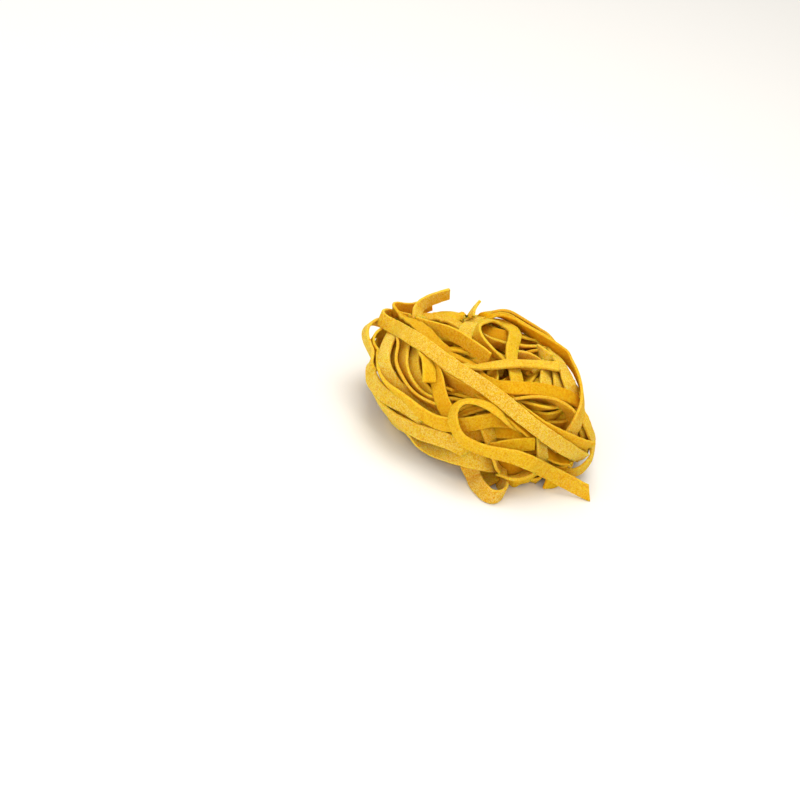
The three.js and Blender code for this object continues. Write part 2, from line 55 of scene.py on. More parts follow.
 ("G", 0.981, -0.70, [0.4, 0.4], [2135,2547,2366,-91,-902,422,1983,2572,2389,-87,-884,460,1835,2602,2421,-95,-866,491,1694,2641,2460,-118,-849,515,1558,2688,2503,-149,-831,536,1426,2745,2544,-185,-818,545,1294,2802,2575,-211,-814,541,1159,2853,2596,-213,-821,529,1021,2896,2608,-198,-835,514,879,2931,2614,-176,-849,499,735,2961,2617,-149,-862,484,590,2985,2619,-119,-874,471,443,3001,2618,-85,-886,457,295,3010,2612,-49,-895,442,146,3009,2601,-12,-904,427,-2,3001,2587,26,-912,409,-150,2987,2569,62,-920,386,-297,2963,2544,99,-926,364,-438,2931,2504,139,-929,343,-577,2892,2456,182,-929,322,-719,2850,2416,218,-925,312,-865,2808,2398,252,-915,315,-1012,2765,2399,288,-901,326,-1158,2723,2421,327,-878,349,-1298,2681,2458,376,-840,391,-1434,2633,2498,426,-786,448,-1566,2573,2530,465,-719,517,-1691,2497,2549,485,-647,589,-1806,2405,2553,485,-575,659,-1912,2302,2550,463,-500,732,-2016,2196,2550,411,-414,812,-2118,2095,2555,323,-318,891,-2217,1995,2559,197,-219,955,-2304,1886,2556,30,-136,990,-2376,1767,2541,-169,-73,983,-2449,1654,2513,-367,12,930,-2544,1569,2465,-518,141,844,-2655,1510,2400,-604,273,749,-2764,1455,2330,-658,388,646,-2855,1370,2294,-709,451,543,-2913,1247,2316,-763,438,475,-2951,1105,2362,-807,390,444,-2992,957,2389,-831,341,440,-3038,808,2386,-836,296,463,-3085,655,2373,-821,261,507,-3120,495,2371,-786,236,571,-3143,332,2386,-727,220,651,-3154,166,2413,-644,202,738,-3156,-2,2447,-540,179,823,-3151,-169,2480,-420,143,896,-3140,-336,2503,-294,83,952,-3128,-498,2507,-179,2,984,-3115,-655,2491,-100,-89,991,-3100,-809,2463,-74,-164,984,-3077,-959,2428,-95,-218,971,-3040,-1108,2393,-141,-256,956,-2986,-1251,2362,-193,-289,938,-2918,-1386,2333,-239,-331,913,-2839,-1514,2306,-274,-376,885,-2752,-1635,2279,-299,-420,857,-2659,-1751,2251,-319,-456,831,-2562,-1865,2223,-341,-483,807,-2461,-1982,2198,-358,-504,786,-2359,-2096,2175,-357,-534,766,-2251,-2200,2153,-336,-579,743,-2133,-2291,2131,-301,-628,718,-2007,-2370,2111,-255,-673,694,-1874,-2435,2095,-193,-710,677,-1735,-2485,2081,-116,-736,667,-1590,-2516,2066,-28,-746,666,-1444,-2528,2045,69,-732,677,-1298,-2525,2017,163,-694,701,-1153,-2512,1983,252,-637,729,-1011,-2490,1942,329,-572,751,-873,-2458,1894,394,-506,767,-742,-2413,1840,443,-447,777,-615,-2357,1784,483,-400,779]),
 ("H", 1.017, 0.20, [0.6, 0.5], [-3016,1248,2241,-601,-583,-547,-2992,1133,2328,-611,-538,-581,-2982,1010,2413,-645,-469,-603,-2982,876,2485,-684,-374,-626,-2983,730,2539,-700,-283,-656,-2982,573,2578,-692,-204,-693,-2980,411,2605,-671,-149,-726,-2975,249,2620,-645,-103,-757,-2966,92,2623,-616,-54,-786,-2952,-60,2614,-589,-7,-808,-2934,-208,2596,-560,35,-828,-2915,-352,2573,-524,59,-850,-2895,-500,2550,-486,66,-871,-2874,-653,2531,-449,70,-891,-2848,-808,2512,-405,81,-911,-2815,-961,2487,-347,101,-933,-2773,-1110,2456,-274,130,-953,-2720,-1253,2421,-195,166,-967,-2656,-1390,2385,-112,207,-972,-2582,-1521,2350,-31,247,-968,-2498,-1647,2318,41,289,-956,-2406,-1770,2288,99,332,-938,-2310,-1887,2261,132,383,-914,-2206,-1994,2233,141,442,-886,-2095,-2090,2202,128,500,-857,-1975,-2173,2169,96,546,-833,-1845,-2238,2134,48,571,-820,-1708,-2285,2100,-15,565,-825,-1566,-2315,2070,-89,513,-854,-1421,-2330,2040,-163,424,-891,-1276,-2330,2010,-229,321,-919,-1132,-2312,1974,-280,212,-936,-993,-2277,1933,-312,95,-945,-859,-2229,1884,-320,-27,-947,-722,-2185,1830,-305,-144,-942,-585,-2181,1787,-282,-230,-931,-456,-2242,1768,-267,-268,-926]),
 ("I", 1.012, 0.30, [0.55, 0.5], [-2495,-44,2769,-610,29,-792,-2518,-196,2777,-614,36,-788,-2516,-349,2766,-623,42,-781,-2503,-499,2744,-629,61,-775,-2494,-644,2719,-623,87,-777,-2486,-785,2689,-605,108,-789,-2475,-923,2654,-578,128,-806,-2455,-1057,2613,-550,142,-823,-2424,-1186,2565,-525,147,-838,-2381,-1311,2515,-503,145,-852,-2328,-1433,2463,-480,135,-867,-2265,-1549,2410,-454,127,-882,-2190,-1659,2357,-422,124,-898,-2104,-1762,2304,-381,127,-916,-2008,-1859,2254,-330,135,-934,-1901,-1949,2207,-273,152,-950,-1785,-2028,2166,-217,179,-960,-1660,-2097,2130,-186,217,-958,-1528,-2157,2096,-196,255,-947,-1390,-2196,2058,-236,259,-937,-1251,-2198,2014,-279,190,-941,-1115,-2165,1967,-290,64,-955,-976,-2127,1922,-269,-47,-962,-835,-2094,1883,-243,-109,-964,-697,-2057,1845,-223,-162,-961,-563,-2050,1814,-210,-216,-953,-437,-2102,1798,-206,-246,-947]),
 ("J", 0.992, -0.60, [0.35, 0.1], [-2362,-197,2813,-681,-246,-690,-2303,-331,2797,-657,-236,-716,-2229,-456,2768,-621,-227,-750,-2145,-572,2731,-572,-221,-790,-2066,-690,2705,-511,-214,-833,-1997,-812,2695,-434,-196,-879,-1934,-936,2696,-357,-173,-918,-1880,-1064,2702,-291,-158,-943,-1826,-1195,2710,-240,-139,-961,-1762,-1329,2716,-226,-113,-968,-1690,-1465,2717,-260,-90,-961,-1620,-1604,2712,-331,-70,-941,-1557,-1744,2698,-419,-52,-907,-1500,-1887,2673,-504,-31,-863,-1445,-2031,2638,-565,-19,-825,-1387,-2175,2596,-601,-19,-799,-1325,-2317,2549,-620,-22,-784,-1256,-2454,2498,-625,-20,-781,-1179,-2582,2440,-622,-13,-783,-1091,-2691,2371,-620,3,-785,-991,-2773,2290,-617,24,-787,-882,-2835,2202,-611,29,-791,-768,-2893,2115,-613,28,-789,-654,-2946,2027,-632,34,-774,-543,-2958,1937,-668,50,-743,-443,-2905,1849,-718,82,-692,-352,-2820,1760,-764,121,-634,-262,-2752,1656,-793,151,-590,-173,-2721,1536,-812,163,-561,-86,-2714,1405,-823,161,-544]),
 ("M", 0.961, -0.80, [0.28, 0.28], [-1862,-732,2610,213,-87,-973,-1782,-861,2638,224,-54,-973,-1708,-991,2662,242,-3,-970,-1633,-1123,2681,255,54,-966,-1554,-1254,2693,257,111,-960,-1466,-1381,2700,261,171,-950,-1364,-1503,2703,267,220,-938,-1250,-1618,2707,267,249,-931,-1128,-1727,2714,258,262,-930,-998,-1827,2724,243,270,-932,-860,-1911,2735,226,287,-931,-716,-1979,2747,204,312,-928,-569,-2040,2756,168,324,-931,-425,-2101,2762,104,295,-950,-282,-2154,2761,9,207,-978,-137,-2188,2748,-95,51,-994,9,-2200,2724,-172,-150,-974,157,-2199,2690,-218,-348,-912,300,-2186,2643,-240,-501,-832,438,-2158,2577,-248,-580,-776,574,-2124,2500,-259,-591,-764,714,-2096,2426,-268,-582,-768,858,-2077,2360,-270,-579,-770,1002,-2059,2298,-265,-577,-772,1144,-2045,2241,-266,-573,-775,1286,-2035,2184,-272,-569,-776,1426,-2024,2127,-278,-567,-775]),
 ("O", 0.991, -0.47, [0.21, 0.21], [-713,-2606,1672,-356,-928,104,-614,-2636,1775,-307,-943,129,-521,-2658,1886,-226,-962,155,-428,-2666,1999,-109,-977,182,-327,-2657,2103,30,-975,221,-216,-2624,2192,160,-951,265,-99,-2568,2263,280,-906,317,19,-2494,2315,383,-852,356,135,-2407,2349,472,-792,388,245,-2309,2371,542,-736,405,347,-2202,2394,600,-694,399,447,-2092,2410,638,-664,390,554,-1985,2405,651,-658,377,666,-1883,2381,656,-668,352,780,-1789,2349,650,-686,328,890,-1698,2330,635,-705,316,996,-1605,2337,620,-720,313]),
 ("P", 0.967, -0.29, [0.4, 0.6, 0.5], [110,-1917,2118,-929,-366,-63,162,-2047,2139,-926,-367,-88,211,-2178,2175,-920,-374,-113,259,-2313,2216,-911,-392,-129,313,-2449,2237,-895,-431,-114,376,-2578,2220,-870,-489,-66,444,-2693,2167,-822,-569,-6,515,-2791,2089,-753,-657,38,591,-2879,2003,-680,-732,46,676,-2962,1919,-620,-785,6,764,-3030,1828,-574,-816,-66,842,-3063,1714,-502,-855,-130,907,-3062,1585,-407,-899,-164,971,-3047,1454,-347,-921,-177,1041,-3043,1329,-319,-936,-150,1119,-3062,1216,-269,-960,-76,1189,-3091,1105,-162,-987,-12,1227,-3112,985,30,-1000,-6,1261,-3110,868,233,-971,-61,1340,-3077,778,310,-944,-116,1420,-3033,691,283,-950,-129,1442,-3014,616,91,-975,-205,1461,-3038,606,-223,-937,-268,1536,-3091,617,-303,-950,-78,1637,-3148,591,-91,-963,255,1746,-3177,565,169,-889,426,1872,-3144,565,330,-839,433,1998,-3065,571,433,-793,429,2113,-2967,580,507,-738,446,2217,-2857,600,564,-693,449,2313,-2740,628,609,-663,436,2405,-2620,657,638,-639,429,2489,-2498,696,658,-600,455,2561,-2371,747,659,-553,509,2619,-2234,804,645,-515,564,2660,-2090,866,637,-484,599,2689,-1947,931,637,-459,620,2702,-1810,1002,634,-433,641,2696,-1680,1084,631,-410,659]),
 ("Q", 0.967, 0.20, [0.15, 0.15], [610,-2965,1115,739,215,-638,701,-3025,1212,723,148,-675,789,-3103,1305,680,77,-729,885,-3175,1393,612,16,-791,998,-3211,1476,542,-6,-840,1124,-3199,1549,482,2,-876,1255,-3159,1609,423,5,-906,1386,-3112,1661,371,-3,-928,1516,-3061,1707,329,-15,-944,1646,-3007,1748,292,-26,-956,1775,-2953,1785,262,-35,-964,1902,-2897,1818,233,-42,-972,2030,-2841,1846,199,-47,-979,2156,-2777,1866,171,-47,-984,2273,-2702,1880,153,-46,-987]),
 ("R", 0.940, -0.40, [0.1, 0.1], [727,-2685,1880,111,-744,-659,865,-2666,1881,102,-756,-647,1003,-2663,1895,101,-792,-602,1142,-2665,1920,114,-833,-542,1282,-2664,1946,134,-857,-497,1423,-2657,1970,162,-864,-476,1567,-2645,1990,206,-857,-473,1711,-2617,1998,259,-840,-476,1848,-2565,1985,317,-820,-477,1972,-2490,1948,380,-795,-474,2081,-2398,1896,431,-769,-471,2182,-2296,1834,463,-752,-470,2279,-2190,1773,481,-740,-470,2379,-2088,1722,503,-728,-466,2482,-1988,1683,539,-710,-453,2584,-1887,1652,575,-692,-436,2685,-1781,1626,603,-679,-418,2786,-1673,1600,619,-676,-401,2885,-1566,1572,619,-680,-393,2982,-1462,1544,615,-684,-393,3078,-1362,1518,613,-685,-393]),
 ("Si", 1.001, -0.90, [0.1, 0.15], [992,-2712,733,-81,138,-987,1142,-2732,717,-118,100,-988,1292,-2723,700,-129,63,-990,1438,-2712,686,-127,28,-992,1578,-2730,678,-138,-17,-990,1716,-2757,669,-170,-57,-984,1850,-2738,646,-225,-57,-973,1966,-2662,607,-285,-42,-958,2068,-2560,562,-318,-44,-947,2164,-2451,521,-317,-42,-947,2252,-2332,487,-311,-36,-950,2317,-2196,459,-318,-36,-947,2368,-2049,431,-331,-35,-943,2427,-1902,400,-340,-32,-940]),
 ("U", 0.993, 0.69, [0.13, 0.13], [3052,-2294,255,-111,126,-986,3188,-2208,253,-114,122,-986,3318,-2113,252,-117,114,-987,3434,-2000,251,-118,106,-987,3522,-1864,250,-122,102,-987,3556,-1706,254,-127,111,-986,3518,-1544,268,-110,140,-984,3458,-1393,296,-82,189,-979,3451,-1244,329,-103,259,-960,3502,-1104,365,-181,336,-924,3577,-975,406,-275,397,-876,3662,-852,445,-377,423,-824,3753,-741,470,-474,411,-779,3817,-663,477,-453,502,-736,3807,-651,467,-298,683,-667,3718,-704,438,-254,732,-632,3605,-787,409,-342,694,-633,3492,-873,395,-420,665,-618,3372,-948,410,-471,643,-605,3253,-999,456,-502,620,-603,3143,-1019,533,-525,590,-613,3057,-1001,631,-547,560,-622,3013,-935,732,-564,542,-623,3022,-827,816,-567,529,-632,3074,-703,868,-552,513,-658,3148,-583,896,-528,500,-686,3228,-465,921,-500,498,-709,3305,-346,951,-470,500,-727,3376,-225,989,-441,503,-743,3438,-103,1035,-418,505,-755,3493,20,1087,-401,506,-764]),
 ("V", 0.965, 0.50, [0.8, 0.9], [2234,-2025,2133,-525,-429,735,2292,-2161,2098,-506,-471,722,2339,-2298,2044,-489,-505,711,2373,-2404,1990,-441,-663,605,2409,-2459,1937,-338,-892,300,2471,-2499,1841,-320,-946,46,2540,-2526,1709,-386,-917,-99,2593,-2517,1569,-433,-872,-230,2633,-2482,1426,-481,-812,-331,2668,-2430,1285,-539,-735,-411,2699,-2361,1145,-591,-666,-456,2730,-2279,1005,-626,-621,-471,2758,-2191,867,-649,-598,-471,2770,-2095,733,-669,-586,-458,2757,-1991,614,-685,-583,-437,2723,-1882,508,-703,-586,-402,2682,-1770,410,-730,-572,-373,2647,-1662,313,-762,-537,-361,2624,-1558,215,-793,-501,-347,2610,-1456,118,-823,-470,-320]),
 ("W", 0.990, -1.00, [0.05, 0.05], [2337,-2253,1509,243,-885,-398,2460,-2196,1463,239,-884,-402,2571,-2133,1395,226,-886,-405,2679,-2074,1317,217,-894,-393,2794,-2027,1250,236,-898,-371,2913,-1988,1194,286,-899,-332,3028,-1945,1139,365,-895,-257,3131,-1895,1078,466,-869,-167,3227,-1833,1018,546,-832,-100,3327,-1760,997,587,-801,-120,3428,-1684,1000,609,-773,-179,3510,-1603,957,615,-764,-196,3578,-1520,872,613,-771,-171,3635,-1458,811,542,-840,18,3667,-1437,794,365,-827,428,3670,-1470,780,269,-635,724,3634,-1562,743,209,-538,817,3564,-1676,693,100,-550,829,3467,-1767,638,1,-542,840,3349,-1800,594,-70,-520,851,3223,-1763,581,-62,-505,861,3098,-1697,603,18,-485,874,2971,-1635,646,130,-416,900,2860,-1619,678,322,-347,881,2779,-1690,688,569,-359,740,2702,-1802,712,719,-397,571,2614,-1894,782,771,-419,481,2523,-1956,888,787,-431,442]),
 ("X", 1.017, -0.40, [0.15, 0.2, 0.3], [139,-1501,2879,-431,-527,-733,271,-1571,2853,-416,-513,-751,398,-1638,2828,-400,-490,-774,520,-1709,2812,-383,-458,-802,639,-1787,2802,-370,-418,-829,760,-1864,2788,-368,-370,-853,886,-1932,2759,-365,-313,-877,1017,-1981,2716,-345,-249,-905,1145,-2034,2677,-294,-179,-939,1263,-2113,2658,-210,-110,-971,1382,-2205,2649,-153,-58,-986,1509,-2286,2638,-150,-17,-988,1643,-2353,2619,-174,16,-985,1780,-2408,2593,-208,37,-977,1919,-2451,2560,-245,49,-968,2061,-2479,2522,-284,50,-958,2203,-2490,2478,-322,37,-946,2342,-2476,2428,-358,20,-934,2477,-2437,2374,-386,16,-922,2606,-2384,2318,-401,16,-916,2732,-2326,2264,-409,11,-912,2853,-2266,2211,-418,4,-908,2970,-2203,2158,-430,-4,-903,3083,-2136,2104,-443,-11,-897,3192,-2067,2050,-454,-17,-891,3297,-1996,1996,-466,-22,-884,3399,-1922,1941,-481,-27,-877,3497,-1844,1886,-496,-35,-867,3588,-1763,1830,-512,-45,-858,3675,-1677,1773,-526,-58,-848,3755,-1587,1716,-537,-74,-840,3829,-1493,1659,-547,-90,-832,3894,-1393,1602,-556,-101,-825,3953,-1288,1547,-563,-109,-819,4011,-1181,1492,-570,-112,-814,4073,-1075,1434,-575,-112,-811,4139,-970,1372,-575,-113,-810]),
 ("Y", 1.025, -0.50, [0.05, 0.05, 0.08, 0.1, 0.15, 0.3, 0.6, 0.85], [-1199,1128,2772,851,-171,497,-1168,1283,2777,851,-181,493,-1136,1439,2783,851,-189,489,-1103,1597,2789,852,-194,486,-1070,1756,2796,852,-197,485,-1037,1917,2804,852,-200,483,-1006,2080,2810,853,-209,478,-973,2240,2813,856,-231,463,-935,2394,2807,861,-279,425,-890,2534,2790,864,-362,349,-839,2647,2769,853,-470,227,-789,2723,2756,818,-570,77,-746,2756,2768,774,-631,-57,-713,2750,2814,737,-663,-129,-683,2723,2886,704,-700,-119,-641,2700,2966,651,-759,-29,-577,2703,3036,561,-819,119,-487,2735,3090,446,-849,282,-376,2785,3127,328,-847,418,-250,2836,3152,223,-829,513,-115,2873,3165,132,-809,573,24,2887,3167,54,-784,618,162,2882,3159,-17,-747,665,295,2864,3145,-92,-689,719,418,2837,3132,-188,-613,767,530,2798,3125,-305,-528,793,630,2738,3127,-423,-449,787,721,2656,3141,-518,-383,765,808,2555,3165,-574,-334,748,893,2445,3196,-591,-300,748,979,2331,3229,-577,-285,765,1071,2219,3260,-541,-287,791,1171,2112,3288,-492,-304,816,1280,2012,3311,-438,-329,837,1398,1918,3329,-383,-354,853,1522,1830,3343,-329,-376,866,1650,1744,3352,-272,-392,879,1779,1663,3355,-206,-402,892,1910,1588,3350,-131,-409,903,2041,1526,3334,-51,-409,911,2171,1478,3308,22,-402,916,2299,1443,3271,68,-387,919,2418,1411,3229,69,-372,926,2526,1366,3185,18,-360,933,2620,1299,3147,-67,-346,936,2703,1208,3117,-157,-326,932,2779,1099,3096,-228,-298,927,2850,979,3082,-271,-270,924,2917,854,3072,-294,-247,923,2982,723,3062,-304,-232,924,3043,586,3051,-309,-224,924,3103,445,3039,-314,-221,923,3160,299,3025,-318,-223,922,3214,149,3009,-324,-227,918,3264,-2,2990,-331,-234,914,3311,-156,2968,-337,-242,910,3354,-312,2943,-342,-249,906,3391,-469,2915,-345,-255,903,3422,-629,2884,-345,-261,902,3446,-790,2851,-344,-269,900,3462,-951,2815,-346,-283,894,3471,-1112,2776,-359,-310,881,3474,-1267,2730,-388,-352,852,3471,-1411,2674,-437,-409,801,3463,-1537,2600,-498,-474,726,3447,-1637,2504,-559,-538,631,3422,-1707,2387,-606,-592,531,3389,-1750,2254,-638,-629,444,3347,-1774,2110,-660,-646,383,3299,-1783,1960,-680,-642,353,3244,-1784,1811,-698,-621,355,3180,-1776,1667,-711,-586,389,3106,-1762,1534,-713,-537,452,3022,-1748,1414,-699,-474,535,2931,-1746,1309,-671,-403,623,2838,-1768,1214,-632,-336,699,2748,-1819,1126,-590,-281,757,2661,-1889,1042,-548,-237,802]),
 ("Z", 0.998, -0.63, [0.4, 0.4, 0.4, 0.4], [-1012,1117,2751,-845,108,-525,-988,1274,2744,-854,108,-509,-966,1432,2742,-858,106,-502,-947,1591,2745,-862,99,-498,-927,1751,2743,-867,87,-491,-903,1910,2727,-869,73,-489,-878,2068,2702,-869,57,-491,-856,2228,2676,-876,47,-480,-840,2390,2654,-892,42,-451,-829,2554,2636,-911,47,-410,-819,2721,2620,-926,62,-374,-806,2888,2604,-930,85,-356,-783,3052,2581,-929,128,-348,-746,3205,2546,-930,190,-315,-711,3319,2543,-888,370,-274,-692,3370,2621,-691,670,-271,-649,3403,2735,-427,840,-336,-553,3462,2820,-266,852,-450,-425,3531,2878,-198,824,-531,-287,3596,2925,-166,812,-560,-144,3650,2962,-136,815,-564,2,3687,2985,-101,826,-555,153,3705,2989,-63,836,-544,304,3705,2975,-22,842,-539,453,3689,2949,20,842,-539,601,3664,2920,64,837,-544,748,3632,2894,109,827,-552,896,3594,2871,159,811,-563,1042,3547,2853,211,788,-578,1186,3491,2838,270,757,-594,1328,3425,2827,337,720,-606,1464,3347,2822,408,674,-615,1595,3259,2825,481,613,-627,1716,3158,2836,546,537,-643,1824,3041,2850,603,451,-658,1913,2907,2860,644,376,-666,1974,2754,2854,679,321,-661,1999,2594,2824,717,290,-634,2004,2434,2781,747,277,-605,2028,2285,2762,758,309,-574,2091,2160,2786,761,426,-490,2174,2050,2809,748,557,-361,2250,1959,2773,686,655,-316,2321,1893,2693,595,701,-392,2415,1825,2640,543,647,-535,2518,1735,2625,531,517,-672,2596,1620,2616,562,397,-726,2646,1486,2603,628,319,-710,2685,1348,2597,678,256,-689,2724,1210,2599,696,221,-683,2764,1075,2606,697,213,-685,2806,938,2615,689,228,-688,2848,798,2612,673,269,-689,2886,658,2590,662,318,-679,2925,522,2553,668,362,-650,2965,388,2510,676,399,-620,3009,256,2466,670,432,-604,3055,125,2418,653,463,-599,3101,-4,2364,638,495,-589,3147,-132,2303,633,530,-564,3193,-256,2235,627,564,-538,3249,-379,2170,606,600,-522,3328,-499,2119,583,633,-509,3421,-616,2072,577,650,-495,3504,-731,2007,586,652,-481,3565,-843,1920,596,639,-486,3613,-955,1829,590,618,-520,3650,-1069,1737,567,593,-572,3667,-1184,1640,547,561,-621,3656,-1295,1538,546,523,-654,3610,-1391,1428,568,474,-672,3530,-1450,1315,589,407,-698,3424,-1452,1215,575,313,-756,3308,-1437,1131,535,181,-825,3192,-1469,1058,508,43,-860,3091,-1562,1005,484,-55,-874,3010,-1689,978,425,-100,-899,2927,-1823,965,347,-90,-934,2820,-1941,950,273,-41,-961,2693,-2034,927,216,32,-976,2552,-2101,896,179,121,-976,2409,-2154,860,145,209,-967,2278,-2219,823,111,259,-960,2163,-2304,788,88,264,-961,2054,-2396,755,76,257,-963]),
 ("AA", 1.006, -0.20, [0.5, 0.6], [-63,3969,1884,-7,-377,926,81,3972,1887,-2,-382,924,225,3979,1890,9,-384,923,371,3991,1892,25,-386,922,517,4005,1893,37,-391,919,664,4019,1892,43,-401,915,814,4029,1889,41,-415,909,964,4031,1883,30,-435,900,1111,4026,1876,10,-457,889,1256,4014,1868,-14,-480,877,1400,3990,1858,-47,-505,862,1542,3955,1846,-90,-527,845,1684,3914,1837,-141,-543,828,1827,3872,1837,-193,-549,814,1968,3827,1844,-242,-546,802,2103,3770,1851,-290,-542,788,2227,3695,1850,-337,-540,771,2339,3604,1839,-377,-536,755,2439,3503,1820,-409,-528,744,2530,3395,1796,-435,-514,740,2613,3281,1769,-453,-495,741,2691,3163,1742,-467,-476,745,2768,3043,1717,-477,-457,751,2844,2922,1694,-486,-438,756,2920,2798,1674,-497,-412,764,2995,2671,1657,-507,-380,773,3067,2543,1642,-516,-345,784,3135,2413,1631,-520,-307,797,3202,2280,1624,-522,-261,812,3263,2145,1623,-523,-209,826,3317,2007,1625,-525,-157,836,3364,1868,1632,-531,-110,840,3405,1729,1645,-533,-78,843,3441,1591,1659,-528,-60,847,3475,1454,1671,-518,-44,854,3508,1317,1683,-505,-30,862,3538,1181,1693,-497,-14,868,3565,1043,1704,-498,14,867,3591,902,1719,-504,72,861,3613,760,1740,-514,149,844,3627,621,1773,-530,236,814,3634,485,1820,-542,334,771,3631,357,1885,-547,423,722,3615,238,1963,-552,504,665,3591,130,2054,-563,550,616,3567,27,2149,-596,547,588,3539,-83,2240,-656,497,568,3507,-206,2318,-725,418,548,3476,-345,2375,-782,346,518,3451,-462,2405,-840,134,526,3457,-547,2408,-821,-266,504,3509,-660,2402,-773,-490,403,3589,-794,2378,-752,-566,336,3658,-889,2336,-615,-747,254,3718,-929,2289,-314,-949,41,3804,-944,2203,-119,-987,-109,3898,-942,2082,-45,-981,-187,3977,-911,1957,24,-957,-288,4041,-857,1832,70,-920,-386,4093,-785,1713,98,-873,-477,4136,-700,1599,109,-833,-542,4173,-607,1491,97,-814,-572,4204,-513,1385,63,-833,-550,4234,-428,1273,12,-874,-486,4260,-376,1184,-84,-963,-256,4275,-377,1125,-227,-952,207,4294,-424,1035,-290,-836,466,4329,-503,926,-253,-757,603,4357,-604,833,-172,-666,726,4346,-718,750,-147,-577,803,4304,-837,675,-149,-508,848,4252,-956,608,-131,-464,876,4190,-1071,545,-119,-450,885,4108,-1177,480,-117,-462,879,3997,-1266,417,-108,-478,872,3855,-1323,368,-93,-492,866,3696,-1334,347,-81,-495,865,3531,-1319,343,-70,-485,872,3378,-1324,325,-44,-482,875,3244,-1364,287,9,-493,870,3118,-1421,252,78,-492,867,2988,-1474,240,143,-473,869,2865,-1535,237,210,-482,851,2765,-1622,225,288,-521,804,2672,-1722,208,346,-575,742,2567,-1815,192,363,-642,676,2442,-1885,185,346,-694,632,2306,-1930,193,317,-716,621,2170,-1969,209,304,-718,626,2040,-2021,213,303,-713,632,1914,-2087,203,294,-710,640,1785,-2151,193,272,-717,642,1647,-2199,195,242,-736,632,1502,-2229,207,211,-767,606,1352,-2250,221,197,-790,580,1200,-2273,234,207,-793,573,1051,-2306,244,227,-782,581,905,-2349,249,234,-770,593,762,-2397,250,203,-766,610,618,-2439,251,145,-759,634,471,-2468,248,79,-745,663,322,-2481,244,7,-726,688,173,-2478,239,-60,-706,705,25,-2458,234,-121,-689,715,-120,-2424,230,-173,-675,717,-263,-2380,226,-216,-663,717,-405,-2332,221,-248,-653,715,-546,-2283,214,-260,-650,714,-687,-2235,206,-262,-650,713]),
 ("AB", 0.989, 0.10, [0.45, 0.5], [-1461,-306,2788,-797,-599,74,-1368,-427,2809,-807,-586,72,-1277,-549,2844,-815,-573,84,-1190,-677,2886,-814,-568,123,-1103,-809,2917,-796,-579,177,-1015,-940,2939,-749,-619,235,-921,-1053,2980,-660,-708,250,-815,-1129,3050,-516,-840,166,-698,-1170,3093,-295,-944,150,-572,-1184,3089,-59,-960,275,-432,-1165,3101,104,-941,323,-291,-1122,3141,214,-936,280,-157,-1067,3177,310,-918,248,-25,-1004,3206,385,-896,221,104,-935,3231,440,-876,195,228,-865,3253,480,-861,169,349,-793,3276,505,-851,145,467,-722,3298,525,-842,124,585,-648,3318,546,-831,107,703,-569,3332,570,-817,93,818,-483,3334,589,-803,90,933,-395,3326,586,-805,93,1052,-307,3316,557,-825,95,1177,-225,3308,517,-851,92,1307,-152,3304,474,-876,86,1440,-87,3304,441,-894,79,1572,-29,3308,427,-902,70,1702,26,3316,427,-902,59,1830,84,3320,433,-900,49,1956,147,3312,431,-901,42,2084,209,3296,412,-911,23,2216,263,3296,382,-924,-13,2349,305,3330,354,-934,-46]),
 ("AC", 1.003, 0.50, [0.7, 0.7], [1520,1494,3003,365,-294,-883,1546,1334,3077,359,-245,-900,1579,1176,3142,316,-194,-929,1633,1022,3194,206,-131,-970,1715,889,3223,10,-121,-993,1830,791,3219,-230,-192,-954,1962,751,3167,-404,-301,-864,2076,785,3072,-545,-336,-768,2158,857,2954,-679,-281,-678,2235,885,2832,-763,-249,-597,2316,815,2739,-803,-244,-544,2386,680,2686,-821,-230,-523,2446,530,2646,-831,-220,-512,2505,380,2605,-841,-213,-497]),
